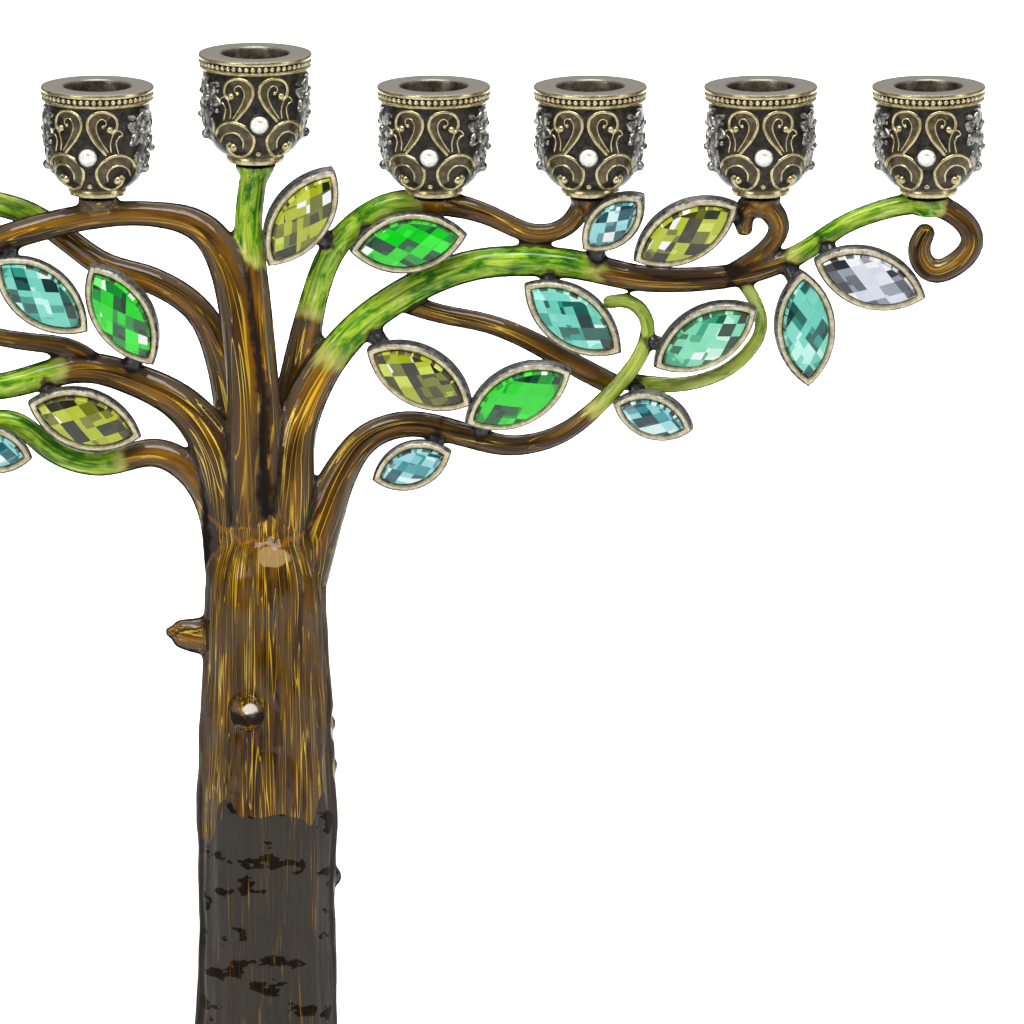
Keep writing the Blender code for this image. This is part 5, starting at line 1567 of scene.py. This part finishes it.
def stone_mesh(material):
    """A round stone with a table, two rows of facets and a closed back, on the cup's front."""
    shape = bmesh.new()
    rows = []
    for radius, z, count, turn in [(0.72, 0.7, 8, 0), (1.15, 0.52, 8, 0.5), (1.42, 0.22, 16, 0), (1.5, 0.0, 16, 0),
                                   (0.6, -0.6, 16, 0)]:
        rows.append([(radius * cos(2 * pi * (i + turn) / count), radius * sin(2 * pi * (i + turn) / count), z)
                     for i in range(count)])
    points = [point for row in rows for point in row]
    for point in points:
        shape.verts.new(Vector(point) * MM)
    bmesh.ops.convex_hull(shape, input=shape.verts)
    bmesh.ops.recalc_face_normals(shape, faces=shape.faces)
    bmesh.ops.dissolve_limit(shape, angle_limit=radians(2), verts=shape.verts, edges=shape.edges)
    mesh = bpy.data.meshes.new("stone")
    shape.to_mesh(mesh)
    shape.free()
    mesh.materials.append(material)
    # Each facet's painted reflection: a random tone and its own mosaic offset; no painted shade towards the rim
    rng = np.random.default_rng(4)
    tones, mosaics = [], []
    for face in mesh.polygons:
        tone, shift = rng.uniform(0.35, 1.0), rng.uniform(-30, 30, 2)
        for vertex in face.vertices:
            x, y = mesh.vertices[vertex].co.xy / MM
            tones.append(tone)
            mosaics.append((x * 2.2 + shift[0], y * 2.2 + shift[1], 0))
    attribute(mesh, "tone", np.array(tones), "CORNER")
    attribute(mesh, "mosaic", np.array(mosaics), "CORNER")
    attribute(mesh, "tip_shade", np.zeros(len(tones)), "CORNER")
    mesh.transform(Matrix.Translation((0, -STONE_WALL * MM, STONE_HEIGHT * MM)) @ Matrix.Rotation(radians(90), 4, "X"))
    return mesh


# The round stones' sparkle is painted: each facet shows a mosaic from near-black to near-white, standing in for its
# reflections
def cup_stone_finish():
    g = Finish("cup_stone_glass")
    mosaic = g.attribute("mosaic").outputs["Vector"]
    tone = g.attribute("tone").outputs["Fac"]
    value = g.math("ADD", g.math("MULTIPLY", g.cells(mosaic, 0.6)[0], 0.55), g.math("MULTIPLY", tone, 0.45))
    colour = g.ramp(value, [(0.0, (0.05, 0.045, 0.03)), (0.2, (0.45, 0.43, 0.33)), (0.34, (0.85, 0.84, 0.72)),
                            (0.6, (1.0, 1.0, 0.95))], "CONSTANT")
    return g.set(base_color=colour, roughness=0.05, coat_weight=1.0, coat_roughness=0.01)


def make_cups():
    cup = cup_mesh()
    for name in CUPS:
        mesh = cup.copy()
        mesh.transform(cup_place(name))
        add_piece(f"candle_{name}", mesh, "cup_metal", f"cup_{name}")


def make_cup_stones():
    stone = stone_mesh(cup_stone_finish())
    for name in CUPS:
        mesh = stone.copy()
        mesh.transform(cup_place(name))
        add_piece(f"stone_{name}", mesh, "crystal_clear", f"cup_stone_{name}")


# The foot, its felt and the screw


def oval_rings(profile, steps=112):
    squash = FOOT_DEPTH / FOOT_LENGTH
    return [[(r * cos(2 * pi * i / steps), r * sin(2 * pi * i / steps) * squash, z) for i in range(steps)]
            for r, z in profile]


def make_foot():
    """The mound under the roots, hollow below for the screw, with rounded edges."""
    half, low = FOOT_LENGTH / 2, FELT_THICKNESS + JOINT_GAP
    inner = 6.2 * MM
    profile = [(3.2 * MM, FOOT_TOP), (8 * MM, FOOT_TOP)]
    shares = np.linspace(FOOT_TOP_LENGTH / FOOT_LENGTH, 0.955, 18)
    heights = foot_height(shares)
    soft = np.convolve(np.pad(heights, 2, mode="edge"), np.ones(5) / 5, mode="valid")
    profile += [(share * half, min(height, FOOT_TOP)) for share, height in zip(shares, soft)]
    profile += [(half - 1.0 * MM, low + 2.75 * MM), (half - 0.3 * MM, low + 2.1 * MM), (half, low + 1.4 * MM),
                (half, low + 0.6 * MM), (half - 0.25 * MM, low + 0.15 * MM), (half - 0.7 * MM, low)]
    hollow = [(inner, low), (inner, low + 4.4 * MM), (3.2 * MM, low + 4.4 * MM), (3.2 * MM, FOOT_TOP)]
    steps = 112
    squash = FOOT_DEPTH / FOOT_LENGTH
    rings = oval_rings(profile, steps)
    rings += [[(r * cos(2 * pi * i / steps), r * sin(2 * pi * i / steps), z) for i in range(steps)] for r, z in hollow[:3]]
    rings[0] = [(3.2 * MM * cos(2 * pi * i / steps), 3.2 * MM * sin(2 * pi * i / steps), FOOT_TOP) for i in range(steps)]
    rings.append(list(rings[0]))
    mesh = rings_mesh("foot", rings, [enamel_finish("foot_enamel")], [0] * (len(rings) - 1), closed_ends=False)
    shape = bmesh.new()
    shape.from_mesh(mesh)
    bmesh.ops.remove_doubles(shape, verts=shape.verts, dist=1e-6)
    bmesh.ops.recalc_face_normals(shape, faces=shape.faces)
    shape.to_mesh(mesh)
    shape.free()
    points = vertices_of(mesh)
    way = np.arctan2(points[:, 1] / squash, points[:, 0])
    out = np.hypot(points[:, 0], points[:, 1] / squash)
    attribute(mesh, "grain", np.stack([22 * np.cos(way), 22 * np.sin(way), out / MM + points[:, 2] / MM], axis=1))
    attribute(mesh, "bar", np.tile((8.0, 0.0, 0.0), (len(points), 1)))
    edge = np.where(out > half - 1.2 * MM, np.abs(points[:, 2] - (low + 1.2 * MM)) / MM * 0.6, 1.0)
    attribute(mesh, "rim", np.stack([edge, 0 * edge, 0 * edge], axis=1))
    add_piece("foot_mound", smooth_shade(mesh, 40), "brown_enamel", "foot")


def make_felt():
    half = FOOT_LENGTH / 2 - MM
    rng = np.random.default_rng(8)
    top = FELT_THICKNESS
    profile = [(half - 0.5 * MM, 0.02 * MM), (half - 0.12 * MM, 0.15 * MM), (half, 0.45 * MM), (half, 0.8 * MM),
               (half - 0.12 * MM, top - 0.1 * MM), (half - 0.4 * MM, top)]
    inner = [(half * share, 0.0) for share in (0.05, 0.35, 0.65, 0.9)]
    upper = [(half * share, top) for share in (0.9, 0.65, 0.35, 0.05)]
    mesh = rings_mesh("felt", oval_rings([*inner, *profile, *upper]), [felt_finish("felt")],
                      [0] * (len(inner) + len(profile) + len(upper) - 1))
    points = vertices_of(mesh)
    out = np.hypot(points[:, 0], points[:, 1] * FOOT_LENGTH / FOOT_DEPTH) > 0.97 * half
    points[out, :2] *= (1 - rng.uniform(0, 0.003, out.sum()))[:, None]
    set_vertices(mesh, points)
    add_piece("foot_felt", smooth_shade(mesh, 60), "felt", "felt_pad")


def make_fasteners():
    finish = antique_metal("screw_steel", (0.32, 0.32, 0.33), (0.62, 0.62, 0.63), 1.0, 0.3, 1.0)
    for node in ("trunk_screw", "screw_washer"):
        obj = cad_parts[node]
        for slot in obj.material_slots:
            slot.material = finish
        if not obj.material_slots:
            obj.data.materials.append(finish)


# Operators


class CANDELABRUM_OT_stage(bpy.types.Operator):
    """Make the pale floor, the soft light and the camera"""

    bl_idname = "candelabrum.stage"
    bl_label = "Stage"

    def execute(self, context):
        make_stage()
        return {"FINISHED"}


class CANDELABRUM_OT_casting(bpy.types.Operator):
    """Cast the trunk and its boughs and enamel them"""

    bl_idname = "candelabrum.casting"
    bl_label = "Trunk and boughs"

    def execute(self, context):
        make_casting()
        return {"FINISHED"}


class CANDELABRUM_OT_settings(bpy.types.Operator):
    """Make the bezels that hold the leaves"""

    bl_idname = "candelabrum.settings"
    bl_label = "Leaf settings"

    def execute(self, context):
        make_settings()
        return {"FINISHED"}


class CANDELABRUM_OT_crystals(bpy.types.Operator):
    """Cut the crystal leaves"""

    bl_idname = "candelabrum.crystals"
    bl_label = "Crystal leaves"

    def execute(self, context):
        make_crystals()
        return {"FINISHED"}


class CANDELABRUM_OT_cups(bpy.types.Operator):
    """Make the nine candle cups"""

    bl_idname = "candelabrum.cups"
    bl_label = "Candle cups"

    def execute(self, context):
        make_cups()
        return {"FINISHED"}


class CANDELABRUM_OT_cup_stones(bpy.types.Operator):
    """Cut the round stones on the cups' fronts"""

    bl_idname = "candelabrum.cup_stones"
    bl_label = "Cup stones"

    def execute(self, context):
        make_cup_stones()
        return {"FINISHED"}


class CANDELABRUM_OT_foot(bpy.types.Operator):
    """Make the foot and its felt"""

    bl_idname = "candelabrum.foot"
    bl_label = "Foot and felt"

    def execute(self, context):
        make_foot()
        make_felt()
        return {"FINISHED"}


class CANDELABRUM_OT_fasteners(bpy.types.Operator):
    """Give the screw and washer their steel"""

    bl_idname = "candelabrum.fasteners"
    bl_label = "Screw and washer"

    def execute(self, context):
        make_fasteners()
        return {"FINISHED"}


OPERATORS = [CANDELABRUM_OT_stage, CANDELABRUM_OT_casting, CANDELABRUM_OT_settings, CANDELABRUM_OT_crystals,
             CANDELABRUM_OT_cups, CANDELABRUM_OT_cup_stones, CANDELABRUM_OT_foot, CANDELABRUM_OT_fasteners]


class CANDELABRUM_PT_panel(bpy.types.Panel):
    """The candelabrum's settings and the buttons that make its pieces"""

    bl_idname = "CANDELABRUM_PT_panel"
    bl_label = "Tree candelabrum"
    bl_space_type = "VIEW_3D"
    bl_region_type = "UI"
    bl_category = "Candelabrum"

    def draw(self, context):
        scene = context.scene
        for group in (scene.candelabrum_sizes, scene.candelabrum_colours, scene.candelabrum_stage):
            box = self.layout.box()
            for key in group.__annotations__:
                box.prop(group, key)
        for operator in OPERATORS:
            self.layout.operator(operator.bl_idname)


GROUPS = {"candelabrum_sizes": CandelabrumSizes, "candelabrum_colours": CandelabrumColours,
          "candelabrum_stage": CandelabrumStage}


def register():
    for group in (*GROUPS.values(), *OPERATORS, CANDELABRUM_PT_panel):
        bpy.utils.register_class(group)
    for key, group in GROUPS.items():
        setattr(bpy.types.Scene, key, bpy.props.PointerProperty(type=group))


def unregister():
    for key in GROUPS:
        delattr(bpy.types.Scene, key)
    for group in reversed((*GROUPS.values(), *OPERATORS, CANDELABRUM_PT_panel)):
        bpy.utils.unregister_class(group)


def main():
    register()
    bpy.ops.candelabrum.stage()
    bpy.ops.candelabrum.casting()
    bpy.ops.candelabrum.settings()
    bpy.ops.candelabrum.crystals()
    bpy.ops.candelabrum.cups()
    bpy.ops.candelabrum.cup_stones()
    bpy.ops.candelabrum.foot()
    bpy.ops.candelabrum.fasteners()


if __name__ == "__main__":
    main()
